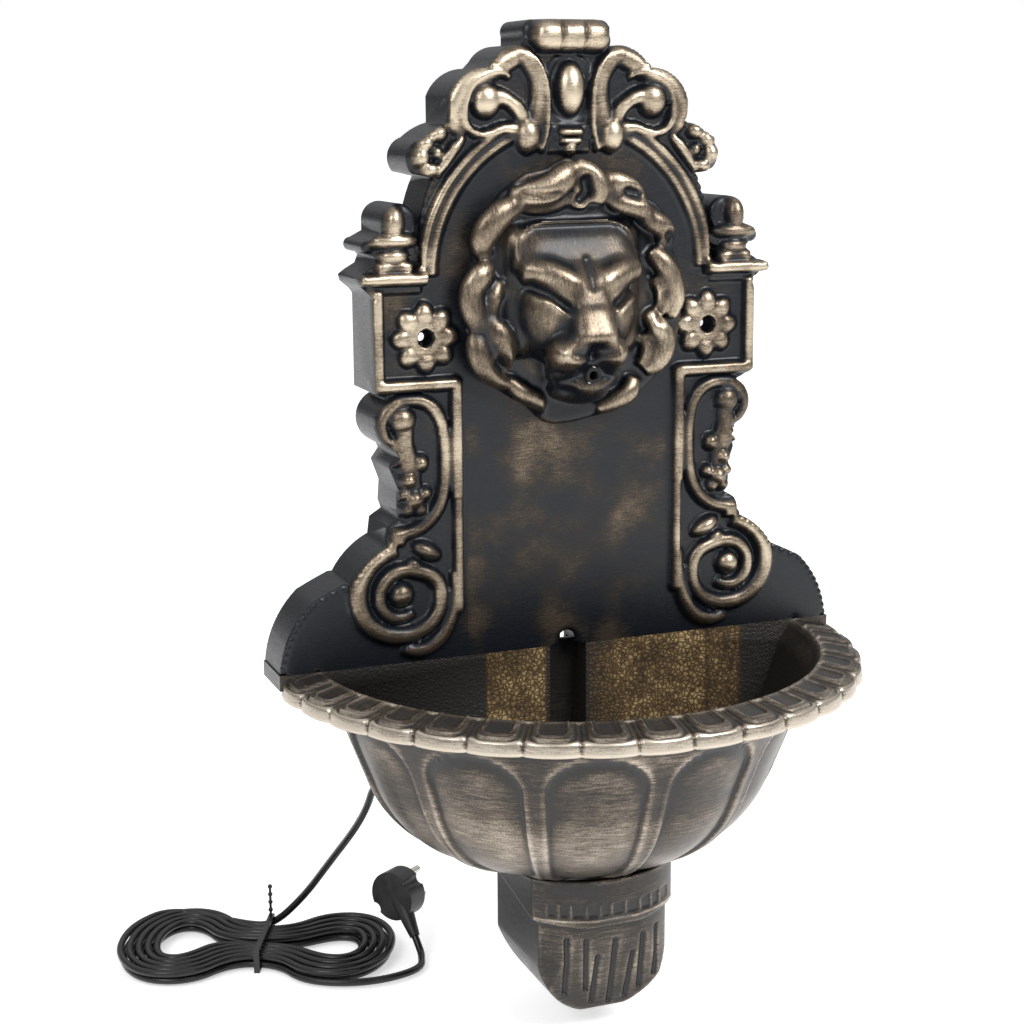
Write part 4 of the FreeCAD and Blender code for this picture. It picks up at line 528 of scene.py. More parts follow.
modify(plate, "SMOOTH", factor=0.5, iterations=3, use_x=False, use_z=False, vertex_group="front")


def normals_of(piece):
    normals = np.empty(len(piece.data.vertices) * 3)
    piece.data.vertices.foreach_get("normal", normals)
    return normals.reshape(-1, 3)


def worn(piece, rounds, gain):
    """How far each point stands out of its surroundings, where hands and brushes rub the finish bright."""
    pairs = np.empty(len(piece.data.edges) * 2, np.int64)
    piece.data.edges.foreach_get("vertices", pairs)
    first, second = pairs[0::2], pairs[1::2]
    spots = positions(piece)
    smooth = spots.copy()
    count = np.bincount(first, minlength=len(spots)) + np.bincount(second, minlength=len(spots))
    for _ in range(rounds):
        near = np.stack([np.bincount(first, smooth[second, axis], len(spots))
                         + np.bincount(second, smooth[first, axis], len(spots)) for axis in range(3)], 1)
        smooth = near / np.maximum(count, 1)[:, None]
    return np.einsum("ij,ij->i", spots - smooth, normals_of(piece)) * gain


def keep_raised(piece, values):
    """Keep how bright the finish is at each point as a point attribute: its gilding, lowered by painted shade where
    the callers add it.
    """
    attribute = piece.data.attributes.get("raised") or piece.data.attributes.new("raised", "FLOAT", "POINT")
    attribute.data.foreach_set("value", values.astype(np.float32))


raised = np.clip(worn(plate, 40, 900.0), -1.2, 0.95)
spots = positions(plate)
height = np.clip((FACE - spots[:, 1]) / 0.008, -0.1, 1.2)
height[~is_front] = 0
# Painted shade: the finish is darkened where the face turns away from the front, on the sides of the rolls and lumps,
# so that their tops stand out bright.
side_shade = 1 - np.clip(-normals_of(plate)[:, 1], 0, 1)
brushed_field = np.exp(-((spots[:, 0] + 0.5 * (spots[:, 2] + 0.09)) / 0.05) ** 2
                       - ((spots[:, 2] + 0.095) / 0.06) ** 2)
shoulder = np.clip((np.abs(spots[:, 0]) - 0.13) / 0.01, 0, 1) * np.clip((-0.12 - spots[:, 2]) / 0.02, 0, 1)
raised = 0.2 * height + 0.56 * raised * np.clip(height * 3 + 0.1, 0, 1) - 0.5 * side_shade + 0.2 * brushed_field
raised -= 0.25 * shoulder * np.clip(1 - height * 2, 0, 1)
raised -= 0.13 * np.clip((-0.03 - spots[:, 2]) / 0.01, 0, 1) * (np.abs(spots[:, 0]) > 0.07)
raised = np.where(is_front, raised, -0.6)
keep_raised(plate, raised)


def combine(material, operation, first, first_out, second, second_out):
    node = add(material, "Math", operation=operation)
    join(material, first, first_out, node, 0)
    join(material, second, second_out, node, 1)
    return node


def bronze(name, streak=(1, 1, 9), streak_scale=130, patch=(0.12, 0.3), dark=(0.0045, 0.006, 0.009), rub=0.16,
           grey=0.0):
    """Bronze finish brushed over near-black plastic: golden where the point attribute of gilding and painted shade is
    high, brown in between and dark where painted shade lowers it, with brush streaks and dry speckles. Grey takes the
    gold out of its tone."""
    material = surface(name, (0.3, 0.2, 0.1), 0.35)
    shader = material.node_tree.nodes["Principled BSDF"]
    shader.inputs["Specular IOR Level"].default_value = 0.36
    height = add(material, "Attribute", attribute_name="raised")
    brush = grain(material, streak_scale, streak, 5, 0.7)
    speck = grain(material, 900, (1, 1, 1), 2, 0.7)
    cloud = grain(material, 22, (1, 1, 1), 3, 0.55)
    brushed = spread(material, brush, "Fac", 0.25, 0.75, -rub, rub)
    dotted = spread(material, speck, "Fac", 0.25, 0.75, -0.14, 0.14)
    clouded = spread(material, cloud, "Fac", 0.3, 0.7, patch[0] - patch[1], patch[0] + patch[1])
    total = combine(material, "ADD", height, "Fac", clouded, "Result")
    more = combine(material, "ADD", total, "Value", brushed, "Result")
    most = combine(material, "ADD", more, "Value", dotted, "Result")
    tones = [(0.06, dark), (0.2, (0.018, 0.015, 0.012)), (0.38, (0.07, 0.054, 0.04)),
             (0.62, (0.2, 0.158, 0.115)), (0.95, (0.52, 0.44, 0.33))]
    colors = ramp(material, most, "Value", [
        (place, [part + grey * (sum(tone) / 3 - part) for part in tone]) for place, tone in tones])
    join(material, colors, "Color", shader, "Base Color")
    metal = spread(material, most, "Value", 0.12, 0.5, 0.0, 0.9)
    join(material, metal, "Result", shader, "Metallic")
    gloss = spread(material, brush, "Fac", 0.3, 0.7, 0.24, 0.4)
    join(material, gloss, "Result", shader, "Roughness")
    bumps(material, brush, "Fac", 0.00012)
    return material


plate.data.materials.clear()
plate.data.materials.append(bronze("plate_bronze", patch=(0.1, 0.32)))
choose(plate)
bpy.ops.object.shade_smooth_by_angle(angle=math.radians(50))
flat_backs(plate)
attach(plate, "fountain")
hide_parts("back_plate")


# Lion mask: one hollow moulding in the same bronze finish, screwed to the plate from behind. It is
# modelled in clay lumps and rolls, drawn together as one skin, cut flat behind and given its wall.
def mass(x, y, z, wide, deep, high, turn=0.0):
    """An egg-shaped lump of clay at a place, with its half sizes, all in millimetres."""
    clear_choice()
    bpy.ops.mesh.primitive_uv_sphere_add(segments=40, ring_count=24, radius=MM,
                                         location=(x * MM, y * MM, z * MM),
                                         rotation=(0, math.radians(turn), 0), scale=(wide, deep, high))
    bpy.ops.object.transform_apply(location=True, rotation=True, scale=True)
    return bpy.context.object


def strand(name, strokes, flat=0.8, full=1.0):
    """Locks and folds: round rolls along points of x, y, z and radius in millimetres."""
    return rolls(name, [[(x, z, radius * full, -y - 6.5) for x, y, z, radius in stroke] for stroke in strokes], flat)


def wedge(low, high, edge):
    """A tapered block with rounded edges: x, x, y and z in millimetres of its lower and upper front edges."""
    clear_choice()
    bpy.ops.mesh.primitive_cube_add(size=2)
    for vertex in bpy.context.object.data.vertices:
        right, back, up = vertex.co
        left_x, right_x, front, height = high if up > 0 else low
        vertex.co = ((right_x if right > 0 else left_x) * MM, (-12 if back > 0 else front) * MM, height * MM)
    bpy.ops.object.mode_set(mode="EDIT")
    bpy.ops.mesh.bevel(offset=edge * MM, segments=5, affect="EDGES")
    bpy.ops.object.mode_set(mode="OBJECT")
    return bpy.context.object


def merge(pieces, name):
    """Join the given pieces into one and leave it chosen."""
    clear_choice()
    for piece in pieces:
        piece.select_set(True)
    bpy.context.view_layer.objects.active = pieces[0]
    bpy.ops.object.join()
    bpy.context.object.name = name
    return bpy.context.object


MASK_OUTLINE = [(-2, 110), (5, 107), (14, 102), (23, 99), (34, 99), (44, 97), (48, 90), (52, 84), (60, 80),
                (66, 74), (71, 66), (74, 56), (72, 50), (77, 42), (79, 33), (80, 18), (79, 3), (76, -10),
                (71, -20), (65, -29), (58, -35), (50, -42), (41, -48), (24, -55), (3, -59), (-10, -60),
                (-18, -58), (-23, -54), (-31, -46), (-41, -41), (-51, -34), (-60, -26), (-65, -17), (-67, -7),
                (-72, 4), (-76, 16), (-76, 24), (-74, 32), (-70, 40), (-65, 45), (-68, 57), (-66, 64),
                (-61, 69), (-54, 80), (-46, 89), (-38, 95), (-30, 100), (-16, 103), (-9, 107)]
clear_choice()
bpy.ops.mesh.primitive_circle_add(vertices=len(MASK_OUTLINE), fill_type="NGON", rotation=(math.radians(90), 0, 0))
flange = bpy.context.object
bpy.ops.object.transform_apply(location=True, rotation=True, scale=True)
for vertex, (x, z) in zip(flange.data.vertices, MASK_OUTLINE):
    vertex.co = (x * MM, -0.0105, z * MM)
bpy.ops.object.mode_set(mode="EDIT")
bpy.ops.mesh.select_all(action="SELECT")
bpy.ops.mesh.extrude_region_move(TRANSFORM_OT_translate={"value": (0, 0.006, 0)})
bpy.ops.mesh.select_all(action="SELECT")
bpy.ops.mesh.normals_make_consistent(inside=False)
bpy.ops.object.mode_set(mode="OBJECT")
lion_clay = [
    flange,
    mass(0, -6, 26, 70, 11, 76),
    strand("crown_locks", [
        [(-1, -17, 103, 6), (-9, -20, 97, 8.5), (-20, -21, 90, 8.5), (-32, -19, 87, 7.5), (-43, -15, 87, 4.5)],
        [(-4, -16, 84, 3.5), (-16, -17, 80, 4), (-30, -17, 79, 4), (-40, -16, 81, 3)],
        [(-1, -18, 104, 6), (9, -20, 98, 7.5), (15, -20, 90, 7.5), (14, -18, 81, 5.5)],
        [(2, -17, 96, 5), (4, -18, 87, 6), (3, -16, 78, 4.5)],
        [(19, -17, 96, 5), (28, -19, 93, 7), (38, -19, 88, 7), (45, -17, 79, 5.5)],
        [(24, -17, 84, 5), (32, -19, 80, 6), (43, -20, 77, 6.5), (51, -18, 72, 5)],
        [(46, -16, 74, 5.5), (55, -18, 68, 7), (63, -17, 62, 6.5), (63, -14, 54, 4.5)],
        [(-40, -16, 80, 6.5), (-50, -19, 76, 8), (-58, -19, 68, 8.5), (-62, -17, 58, 7.5), (-59, -14, 49, 4.5)],
    ], 0.76, 1.14),
    strand("side_locks", [
        [(-57, -15, 43, 5.5), (-64, -19, 38, 7.5), (-70, -18, 28, 7.5), (-69, -18, 17, 7.5), (-64, -17, 7, 7)],
        [(-50, -14, 34, 3.5), (-54, -17, 25, 5), (-58, -17, 14, 5.5), (-58, -16, 4, 5)],
        [(-60, -17, 10, 6.5), (-52, -20, 0, 7.5), (-47, -19, -12, 6), (-49, -15, -22, 4)],
        [(-66, -16, 2, 6), (-66, -18, -8, 7.5), (-62, -18, -18, 7.5), (-54, -16, -26, 6), (-45, -13, -31, 4)],
        [(-56, -17, -8, 5), (-56, -18, -17, 5.5), (-51, -16, -22, 4)],
        [(-44, -13, -29, 4), (-35, -15, -37, 5.5), (-25, -14, -43, 5), (-20, -11, -48, 3)],
        [(54, -15, 50, 5), (61, -18, 42, 6.5), (68, -18, 31, 6.5), (71, -17, 19, 6), (69, -14, 6, 4)],
        [(57, -15, 33, 4), (62, -17, 22, 5), (62, -15, 10, 4)],
        [(52, -14, 10, 4.5), (58, -18, 1, 6.5), (63, -18, -8, 7), (60, -18, -19, 6.5), (51, -15, -28, 5)],
        [(49, -14, -4, 4), (52, -16, -14, 5), (48, -14, -24, 4)],
        [(43, -13, -32, 5), (39, -16, -40, 6), (30, -15, -46, 5.5), (18, -12, -51, 4)],
    ], 0.76, 1.14),
    bar(-49, 47, -16, 70, 14, 12),
    wedge((-47, 45, -35, 36), (-37, 37, -20, 70), 13),
    mass(0, -14, 15, 41, 32, 37),
    strand("brows", [[(-37, -22, 41, 9), (-24, -29, 38.5, 10.5), (-10, -35.5, 32, 9), (-2, -37, 26, 6)],
                     [(39, -22, 40, 8.5), (26, -29, 38, 10), (12, -35.5, 32, 9), (5, -37, 26, 6)]], 1.0),
    wedge((-25, 24, -48, -17), (-14, 16, -40, 25), 10),
    wedge((-13, 14, -46, 20), (-8, 10, -38, 38), 6),
    wedge((-16, 17.5, -60, -4), (-13, 15, -46.5, 23), 9),
    mass(-13.5, -37, -10, 15, 20, 13), mass(12.5, -37, -10, 14, 20, 13),
    mass(0, -30, -22, 25, 21, 15), mass(0, -24, -35, 20, 18, 10),
]
lion = merge(lion_clay, "lion_mask_moulding")
modify(lion, "REMESH", mode="VOXEL", voxel_size=0.00125)
modify(lion, "SMOOTH", factor=0.5, iterations=10)
spots = positions(lion) / MM
in_face = (np.abs(spots[:, 0]) < 45) & (spots[:, 1] < -19) & (spots[:, 2] > -18) & (spots[:, 2] < 66)
on_nose = (np.abs(spots[:, 0] - 0.5) < 17) & (spots[:, 1] < -42) & (spots[:, 2] < 22)
face_group = lion.vertex_groups.new(name="face")
face_group.add(np.flatnonzero(in_face & ~on_nose).tolist(), 1.0, "REPLACE")
face_group.add(np.flatnonzero(in_face & on_nose).tolist(), 0.55, "REPLACE")
modify(lion, "SMOOTH", factor=0.5, iterations=40, vertex_group="face")
spots = positions(lion) / MM


def press(spots, line, width, depth, reach_y=-20):
    """Press a groove into the clay along a line of x, z points, or raise it by a negative depth."""
    here = spots[:, [0, 2]]
    nearest = np.full(len(spots), 1e9)
    for (x0, z0), (x1, z1) in zip(line, line[1:]):
        way = np.array([x1 - x0, z1 - z0])
        share = np.clip(((here - (x0, z0)) @ way) / max(way @ way, 1e-9), 0, 1)
        gap = np.hypot(here[:, 0] - x0 - share * way[0], here[:, 1] - z0 - share * way[1])
        nearest = np.minimum(nearest, gap)
    spots[:, 1] += np.where(spots[:, 1] < reach_y, depth * np.exp(-(nearest / width) ** 2), 0)


press(spots, [(-34, 31), (-23, 24.5), (-14, 17.5)], 3.1, 6.0, -22)
press(spots, [(37, 28), (29, 25), (20, 19.5)], 3.1, 6.0, -22)
press(spots, [(-27, 23), (-21, 19), (-16, 15)], 2.2, -2.6, -24)
press(spots, [(36, 21.5), (29, 19), (22, 15)], 2.2, -2.6, -24)
press(spots, [(2.4, 45), (2.8, 38), (3, 31)], 3.4, 3.0, -28)
press(spots, [(-16, 20), (-19, 8), (-22, -4)], 3.0, 1.6, -30)
press(spots, [(16, 20), (17.5, 8), (19, -4)], 3.0, 1.6, -30)
press(spots, [(-14, -9), (-1, -10.5), (11, -9)], 3.4, 3.4, -44)
press(spots, [(-1, -11), (-1, -18)], 2.8, 2.0, -44)
press(spots, [(-4, -23), (5, -23)], 7.5, 6.0, -26)
press(spots, [(-27, -30), (-19, -27), (-10, -25)], 2.6, 2.6, -24)
press(spots, [(26, -30), (18, -27), (10, -25)], 2.6, 2.6, -24)
press(spots, [(-8, -33.5), (0, -34.5), (8, -33.5)], 3.0, -2.4, -22)
press(spots, [(5.5, 95), (7, 88), (3, 84)], 3.4, 7.0, -12)
press(spots, [(34, 88), (41, 86)], 3.0, 5.0, -12)
press(spots, [(65, 59), (68, 56)], 3.4, 5.5, -11)
press(spots, [(-52, -17), (-49, -20)], 3.8, 5.0, -11)
press(spots, [(-36, 88), (-24, 86), (-14, 87)], 2.2, 2.2, -12)
press(spots, [(62, 22), (58, 6)], 2.6, 2.5, -12)
move_to(lion, spots * MM)
modify(lion, "REMESH", mode="VOXEL", voxel_size=0.0012)
modify(lion, "SMOOTH", factor=0.5, iterations=5)
halve(lion, (0, FACE - 0.0001, 0), (0, 1, 0), False)
bpy.ops.object.mode_set(mode="EDIT")
bpy.ops.mesh.select_all(action="DESELECT")
bpy.ops.object.mode_set(mode="OBJECT")
for face in lion.data.polygons:
    face.select = face.center.y > FACE - 0.0005 and face.normal.y > 0.9
bpy.ops.object.mode_set(mode="EDIT")
bpy.ops.mesh.delete(type="FACE")
bpy.ops.object.mode_set(mode="OBJECT")
modify(lion, "SOLIDIFY", thickness=0.0022, offset=-1)
clear_choice()
bpy.ops.mesh.primitive_cylinder_add(vertices=40, radius=0.0054, depth=0.06, location=(0, -0.055, -0.024),
                                    rotation=(math.radians(90), 0, 0))
mouth = bpy.context.object
modify(lion, "BOOLEAN", operation="DIFFERENCE", object=mouth, solver="EXACT")
bpy.data.objects.remove(mouth)
values = np.clip(worn(lion, 30, 520.0), -1.2, 1.2)
spots = positions(lion)
# Painted shade: the finish is darkened where the mask turns away from the front, on the sides of the head and locks;
# shade below is a painted shadow under the nose and round the mouth.
side_shade = 1 - np.clip(-normals_of(lion)[:, 1] * 1.15, 0, 1)
level = 0.3 + 0.2 * np.clip((-spots[:, 1] - 0.014) / 0.05, 0, 1) - 0.55 * side_shade
level -= 0.08 * (np.abs(spots[:, 0]) < 0.046) * np.clip((spots[:, 2] - 0.045) / 0.01, 0, 1) * (spots[:, 2] < 0.071)
level -= 0.05 * (np.abs(spots[:, 0]) < 0.018) * (spots[:, 1] < -0.043) * (spots[:, 2] > -0.008)
level -= 0.4 * np.clip((spots[:, 1] + 0.0135) / 0.002, 0, 1)
shade = np.clip((0.026 - np.hypot(spots[:, 0], spots[:, 2] + 0.026)) / 0.012, 0, 1) * 0.35
keep_raised(lion, 0.5 * values + level - shade)
lion.data.materials.append(bronze("mask_bronze", (7, 1, 1), 150, (0.02, 0.2)))
choose(lion)
bpy.ops.object.shade_smooth_by_angle(angle=math.radians(60))
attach(lion, "fountain")
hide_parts("lion_mask")


# Basin: half a turned bowl in one moulding with its back wall. The shell rim has eighteen tongues, and
# six sunk panels run down the bowl between flat ribs. Its finish is greyer, brushed across.
BOWL_Y = -0.5
BOWL_BACK = -0.0064
UNDERSIDE = -0.34995
TONGUE_PITCH = 10
PANEL_PITCH = 30
RIM_ROWS = [(168, -209)] + [(168 + 24 * share, -209 - 4.4 * share) for share in np.linspace(0.03, 0.985, 24)]
bowl_rows = RIM_ROWS + [(192.6, -213.9), (193.2, -215.2), (193.5, -216.8), (193.7, -218.5), (193.9, -220.2),
                        (194, -221.4), (193.6, -222.3), (192.6, -222.7), (190, -222.8), (182, -223.0),
                        (172, -223.2), (163.4, -223.4)]


def bent(points, share):
    """A point on the arc through three points of radius and height."""
    (x0, y0), (x1, y1), (x2, y2) = points
    a = 2 * (x1 - x0), 2 * (y1 - y0), x1 ** 2 + y1 ** 2 - x0 ** 2 - y0 ** 2
    b = 2 * (x2 - x0), 2 * (y2 - y0), x2 ** 2 + y2 ** 2 - x0 ** 2 - y0 ** 2
    det = a[0] * b[1] - a[1] * b[0]
    cx, cy = (a[2] * b[1] - a[1] * b[2]) / det, (a[0] * b[2] - a[2] * b[0]) / det
    start, end = math.atan2(y0 - cy, x0 - cx), math.atan2(y2 - cy, x2 - cx)
    angle = start + (end - start) * share
    radius = math.hypot(x0 - cx, y0 - cy)
    return cx + radius * math.cos(angle), cy + radius * math.sin(angle)


bowl_rows += [(163 - 23 * share, -223.4 - 59.6 * share) for share in np.linspace(0.03, 1, 20)]
bowl_rows += [bent(((140, -283), (121, -316), (80, -343)), share) for share in np.linspace(0.04, 1, 24)]
bowl_rows += [(80 - 28 * share, -343 - 7 * share) for share in np.linspace(0.15, 1, 7)]
OUTER_ROWS = len(bowl_rows)
bowl_rows += [(25, -350), (0.02, -350), (0.02, -342), (35, -342), (70, -342), (78, -339)]
bowl_rows += [bent(((78, -339), (117.8, -313.6), (136, -283)), share) for share in np.linspace(0.12, 1, 9)]
bowl_rows += [(136 + 23 * share, -283 + 61 * share) for share in np.linspace(0.15, 1, 8)]
bowl_rows += [(162, -217.6), (165, -213.2)]
clear_choice()
bpy.ops.mesh.primitive_circle_add(vertices=len(bowl_rows), fill_type="NOTHING")
bowl = bpy.context.object
bowl.name = "basin_moulding"
bowl_rows = np.array(bowl_rows, np.float64)
for vertex, (radius, height) in zip(bowl.data.vertices, bowl_rows):
    vertex.co = (radius * MM, BOWL_Y * MM, height * MM)
bpy.ops.object.mode_set(mode="EDIT")
bpy.ops.mesh.select_all(action="SELECT")
bpy.ops.mesh.spin(steps=600, angle=math.pi, center=(0, BOWL_Y * MM, 0), axis=(0, 0, 1))
bpy.ops.mesh.select_all(action="SELECT")
bpy.ops.mesh.remove_doubles(threshold=0.00003)
bpy.ops.mesh.normals_make_consistent(inside=False)
bpy.ops.object.mode_set(mode="OBJECT")
spots = positions(bowl) / MM
radius = np.hypot(spots[:, 0], spots[:, 1] - BOWL_Y)
angle = np.degrees(np.arctan2(spots[:, 0], BOWL_Y - spots[:, 1]))
row = ((radius[:, None] - bowl_rows[None, :, 0]) ** 2 + (spots[:, 2][:, None] - bowl_rows[None, :, 1]) ** 2).argmin(1)


def step_up(inside, width):
    share = np.clip(inside / width, 0, 1)
    return share * share * (3 - 2 * share)


def tongue(across, out, half, end, corner):
    """Distance outside a tongue with a rounded end, in millimetres, less than nothing inside it."""
    wide, long = np.abs(across) - half + corner, out - end + corner
    return np.hypot(np.maximum(wide, 0), np.maximum(long, 0)) + np.minimum(np.maximum(wide, long), 0) - corner


pitch = np.mod(angle, TONGUE_PITCH) - TONGUE_PITCH / 2
across = np.radians(pitch) * radius
outer_edge = tongue(across, radius, np.radians(3.85) * radius, 190.8, 6)
inner_edge = tongue(across, radius, np.radians(2.75) * radius, 186.8, 5)
on_top = row <= len(RIM_ROWS) + 1
on_lip = (row > len(RIM_ROWS) - 3) & (row <= len(RIM_ROWS) + 8)
lift = 1.1 * step_up(-outer_edge, 1.0) - 0.7 * np.exp(-((outer_edge - 0.5) / 0.8) ** 2)
lift += 0.9 * np.exp(-(inner_edge / 0.7) ** 2) - 0.9 * step_up(-inner_edge, 1.2)
lift += 0.5 * np.exp(-((inner_edge + 2.4) / 0.7) ** 2)
between = np.radians(5 - np.abs(pitch)) * radius
lift -= 1.2 * np.exp(-(between / 1.1) ** 2)
lift *= step_up(radius - 168, 2.5)
spots[:, 2] += np.where(on_top, lift, 0)
scallop = 2.4 * (1 - (np.abs(pitch) / 5) ** 2.4) - 0.6 - 1.0 * np.exp(-(between / 1.0) ** 2)
outward = np.where(on_lip | on_top, scallop * step_up(radius - 180, 10), 0)
panel = np.mod(angle, PANEL_PITCH) - PANEL_PITCH / 2
down = np.clip((spots[:, 2] + 262) / 25, 0, 1)
up = np.clip((-333 - spots[:, 2]) / 12, 0, 1)
inside = (1 - np.sqrt((panel / 12.4) ** 2 + down ** 2 + up ** 2)) * np.radians(12.4) * radius
swell = -2.6 * step_up(inside + 0.8, 2.8) + 2.2 * np.sin(np.clip(inside / 24, 0, 1) * math.pi / 2)
swell += 0.35 * np.exp(-((inside + 2.2) / 1.5) ** 2)
on_bowl = (row > len(RIM_ROWS) + 13) & (row < OUTER_ROWS - 2)
fade = np.clip((-226 - spots[:, 2]) / 5, 0, 1) * np.clip((spots[:, 2] + 346) / 7, 0, 1)
swell = np.where(on_bowl, swell * fade, 0)
tangent = np.gradient(bowl_rows, axis=0)
tangent /= np.hypot(tangent[:, 0], tangent[:, 1])[:, None]
outward = outward + swell * -tangent[row, 1]
spots[:, 2] += swell * tangent[row, 0]
turned = np.radians(angle)
spots[:, 0] += outward * np.sin(turned)
spots[:, 1] -= outward * np.cos(turned)
move_to(bowl, spots * MM)
values = worn(bowl, 14, 900.0)
level = np.where(on_lip, 0.56, np.where(on_top, 0.34 - 0.16 * step_up(-inner_edge, 2), 0.3))
level = np.where(row >= OUTER_ROWS - 2, -0.25, level)
# Painted shade: each sunk panel is darker just inside its edge, fading towards its middle.
level = np.where(on_bowl, 0.34 - 0.1 * (1 - step_up(inside, 14)) * step_up(inside + 2, 4), level)
keep_raised(bowl, 0.42 * np.clip(values, -1.2, 1.2) + level)
halve(bowl, (0, BOWL_BACK, 0), (0, 1, 0), False)
basin_back = copy_of("basin_bowl", "basin_back")
halve(basin_back, (0, BOWL_BACK, 0), (0, 1, 0), True)
basin_bosses = copy_of("basin_bowl", "basin_bosses")
halve(basin_bosses, (0, BOWL_BACK, 0), (0, 1, 0), False)
halve(basin_bosses, (0, 0, UNDERSIDE), (0, 0, 1), False)
for piece, value in ((basin_back, 0.1), (basin_bosses, 0.0)):
    keep_raised(piece, np.full(len(piece.data.vertices), value))
basin = merge([bowl, basin_back, basin_bosses], "basin_moulding")
basin.data.materials.clear()
basin.data.materials.append(bronze("basin_bronze", (1, 1, 14), 80, (0.0, 0.16), (0.016, 0.015, 0.014), 0.26, 0.3))


def pebbled(name):
    """The basin's back wall: golden pebbled fields beside the hose groove, dark navy at its ends, and a narrow dark
    band of painted shade on the right field where the wall turns.
    """
    material = surface(name, (0.3, 0.2, 0.1), 0.4, 0.6)
    shader = material.node_tree.nodes["Principled BSDF"]
    where = add(material, "TexCoord")
    axes = add(material, "SeparateXYZ")
    join(material, where, "Object", axes, 0)
    place = spread(material, axes, "X", -0.17, 0.17, 0, 1)
    # The dip to 0.45 near x = 0.103 m is painted shade of the bend in the wall.
    stops = [(-0.17, 0), (-0.0585, 0), (-0.0575, 0.95), (-0.017, 0.8), (-0.0145, 0), (0.0145, 0), (0.016, 0.35),
             (0.03, 0.5), (0.045, 1), (0.1, 0.95), (0.103, 0.45), (0.108, 0.8), (0.126, 0.75), (0.13, 0)]
    fields = ramp(material, place, "Result", [((x + 0.17) / 0.34, (value,) * 3) for x, value in stops])
    cells = add(material, "TexVoronoi", feature="DISTANCE_TO_EDGE", Scale=330, Randomness=0.85)
    join(material, where, "Object", cells, "Vector")
    pebbles = spread(material, cells, "Distance", 0.0, 0.24, 0.25, 1)
    patches = grain(material, 40, (1, 1, 1), 4)
    gold = combine(material, "MULTIPLY", pebbles, "Result", fields, "Color")
    strong = spread(material, patches, "Fac", 0.3, 0.62, 0.35, 1.15)
    varied = combine(material, "MULTIPLY", gold, "Value", strong, "Result")
    tones = ramp(material, varied, "Value", [(0, (0.058, 0.053, 0.048)), (0.2, (0.1, 0.07, 0.042)),
                                             (0.55, (0.27, 0.175, 0.08)), (1, (0.7, 0.52, 0.27))])
    join(material, tones, "Color", shader, "Base Color")
    bumps(material, pebbles, "Result", 0.0003)
    return material


basin.data.materials.append(pebbled("basin_back_gold"))
for face in basin.data.polygons:
    middle = face.center
    if face.normal.y < -0.9 and -0.0066 < middle.y < -0.0062 and -0.346 < middle.z < -0.2085:
        face.material_index = 1
choose(basin)
bpy.ops.object.shade_smooth_by_angle(angle=math.radians(45))
flat_backs(basin)
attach(basin, "fountain")
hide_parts("basin_bowl")


# Corbel: a hollow bracket screwed under the bowl from within, in the basin's finish. A collar with short
# ticks runs round its top and flutes go down its rounded front.
corbel = copy_of("corbel_foot", "corbel_moulding")
modify(corbel, "REMESH", mode="VOXEL", voxel_size=0.00105)
modify(corbel, "SMOOTH", factor=0.5, iterations=4)
spots = positions(corbel) / MM
normals = normals_of(corbel)
x, y, z = spots.T
outside = np.clip(np.abs(normals[:, 1]) * 1.6, 0, 1) * (y < -20)
FLUTES = [(-29.6, -385, -28.8, -424), (-17, -386, -13.6, -424), (-7.4, -400, -8.6, -434), (4.1, -389, 3.9, -436),
          (17.6, -401, 15.4, -434), (23.6, -388, 24.8, -428), (34.6, -386, 34.9, -421)]
groove = np.zeros(len(spots))
for top_x, top_z, low_x, low_z in FLUTES:
    share = np.clip((top_z - z) / (top_z - low_z), 0, 1)
    gap = np.hypot(x - top_x - (low_x - top_x) * share, np.maximum(z - top_z, 0) + np.maximum(low_z - z, 0))
    groove = np.maximum(groove, np.exp(-(gap / 1.7) ** 4))
TICKS = np.array([-42.6, -35.9, -28.9, -19.6, -10.7, -2.9, 6.9, 17.7, 27, 35])
tick_gap = np.abs(x[:, None] - TICKS[None, :]).min(1)
in_row = np.clip((-358.5 - z) / 0.8, 0, 1) * np.clip((z + 367.5) / 0.8, 0, 1)
tick = in_row * (0.9 - 1.7 * np.exp(-(tick_gap / 1.1) ** 2)) * np.clip((44 - np.abs(x)) / 2, 0, 1)
edge = np.exp(-((z + 370.2) / 1.1) ** 2)
spots[:, 1] += outside * (2.4 * groove + tick - 0.7 * edge)
move_to(corbel, spots * MM)
modify(corbel, "SMOOTH", factor=0.5, iterations=1)
values = np.clip(worn(corbel, 14, 700.0), -1.2, 1.2)
front_share = np.clip((-normals[:, 1] - 0.2) * 2, 0, 1)
raised = (0.5 * values + 0.2 + 0.25 * edge) * front_share + (1 - front_share) * -0.06
keep_raised(corbel, raised)
corbel.data.materials.append(bronze("corbel_bronze", (1, 1, 10), 70, (0.02, 0.16), (0.016, 0.016, 0.016), 0.2, 0.4))
choose(corbel)
bpy.ops.object.shade_smooth_by_angle(angle=math.radians(60))
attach(corbel, "fountain")
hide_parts("corbel_foot")


def finish(node, material):
    """Give a node of the frame its finish."""
    nodes[node].data.materials.clear()
    nodes[node].data.materials.append(material)


# Assembly screws: zinc-plated steel, driven from behind and from below.
zinc = speckled("zinc_screw", (0.34, 0.34, 0.35), (0.6, 0.6, 0.62), 0.3, 1.0, 300)
for node in ("lion_mask_screws", "seam_screws", "corbel_screws"):
    finish(node, zinc)

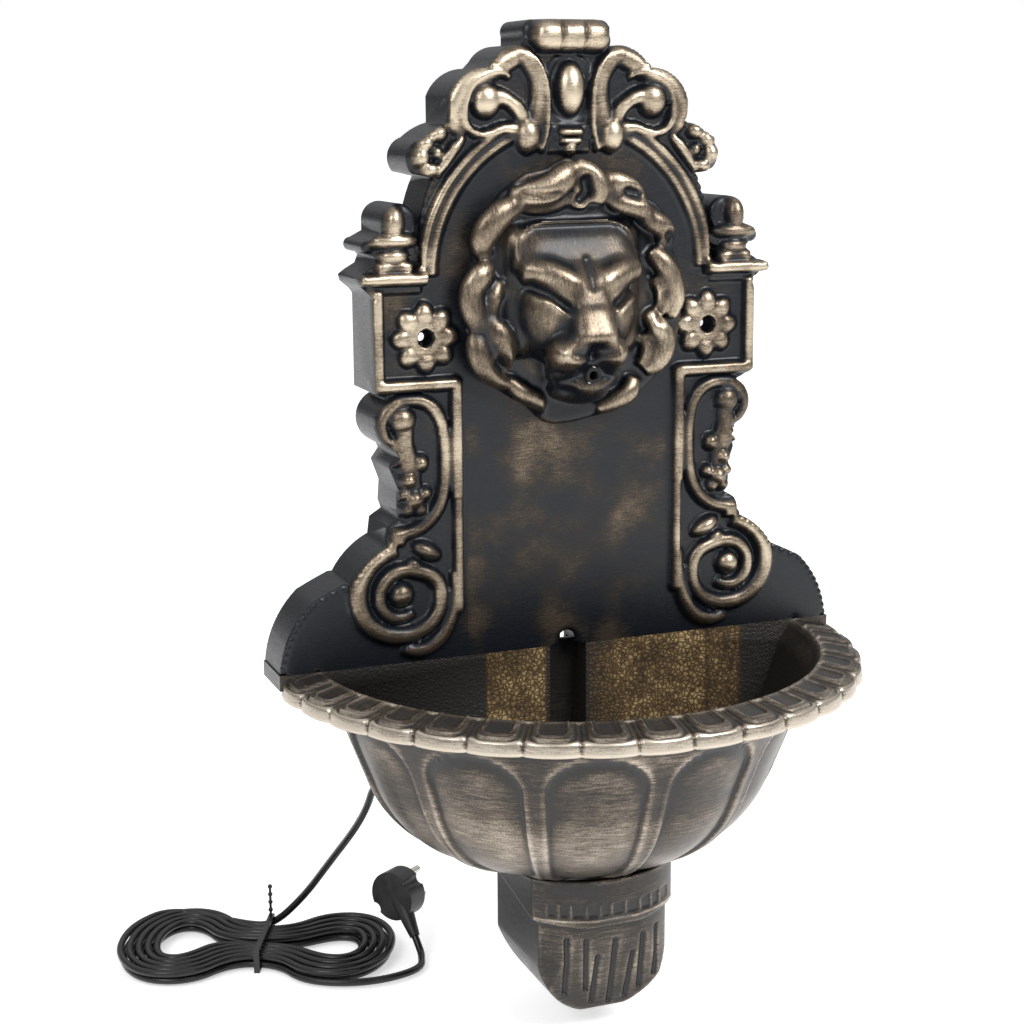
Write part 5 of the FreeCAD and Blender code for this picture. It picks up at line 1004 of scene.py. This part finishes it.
# Water way: black PVC hoses, pressed on a moulded elbow that passes the basin's back wall with a rubber
# seal and a nut, a clip that holds the hose to the plate, and a moulded spout behind the lion's mouth.
hose_pvc = speckled("hose_pvc", (0.014, 0.013, 0.012), (0.034, 0.03, 0.026), 0.62, 0, 80)
moulded = speckled("moulded_black", (0.011, 0.011, 0.012), (0.026, 0.026, 0.028), 0.38, 0, 120)
soft_rubber = speckled("soft_rubber", (0.014, 0.014, 0.014), (0.035, 0.035, 0.034), 0.72, 0, 160)
for node in ("riser_hose", "pump_hose"):
    finish(node, hose_pvc)
# The spout is coloured darker than the hoses: painted shade for the hollow of the lion's mouth round it.
finish("spout_tube", speckled("spout_painted_shade", (0.003, 0.003, 0.003), (0.006, 0.006, 0.006), 0.85, 0, 80))
for node in ("riser_elbow", "hose_clip", "bulkhead_nut"):
    finish(node, moulded)
for node in ("bulkhead_seal", "cord_grommet", "suction_cups"):
    finish(node, soft_rubber)

# Pump: black ABS housing with a ribbed strainer cap that pulls off, a dial on the cap that sets the
# flow, and a magnet rotor with its impeller turning on a ceramic axle between two bushes.
housing = speckled("pump_abs", (0.013, 0.014, 0.016), (0.03, 0.031, 0.034), 0.45, 0, 90, depth=0.00012)
for node in ("pump_body", "strainer_cap", "impeller_cover"):
    finish(node, housing)
finish("flow_dial", speckled("dial_abs", (0.02, 0.03, 0.05), (0.04, 0.055, 0.09), 0.4, 0, 90))
finish("impeller", speckled("impeller_pom", (0.55, 0.56, 0.55), (0.75, 0.75, 0.73), 0.35, 0, 120))
finish("magnet_rotor", speckled("ferrite", (0.02, 0.019, 0.018), (0.055, 0.053, 0.05), 0.55, 0.2, 200))
finish("impeller_axle", speckled("ceramic_axle", (0.78, 0.76, 0.72), (0.88, 0.87, 0.84), 0.22, 0, 200))
for node in ("rear_bush", "front_bush"):
    finish(node, speckled(node + "_rubber", (0.02, 0.02, 0.02), (0.04, 0.04, 0.04), 0.7, 0, 200))
finish("cord_strain_relief", moulded)

# Mains plug and tie: the plug is a moulded contour plug with two nickel-plated round pins, and a nylon
# tie with its tail standing up holds the hank's waist.
finish("plug_body", speckled("plug_pvc", (0.008, 0.008, 0.009), (0.02, 0.02, 0.021), 0.36, 0, 150))
finish("plug_pins", speckled("nickel_pin", (0.5, 0.48, 0.44), (0.72, 0.7, 0.66), 0.22, 1.0, 400, (1, 1, 1), 0.00002))
finish("hank_tie", speckled("nylon_tie", (0.01, 0.01, 0.01), (0.024, 0.024, 0.025), 0.33, 0, 200))
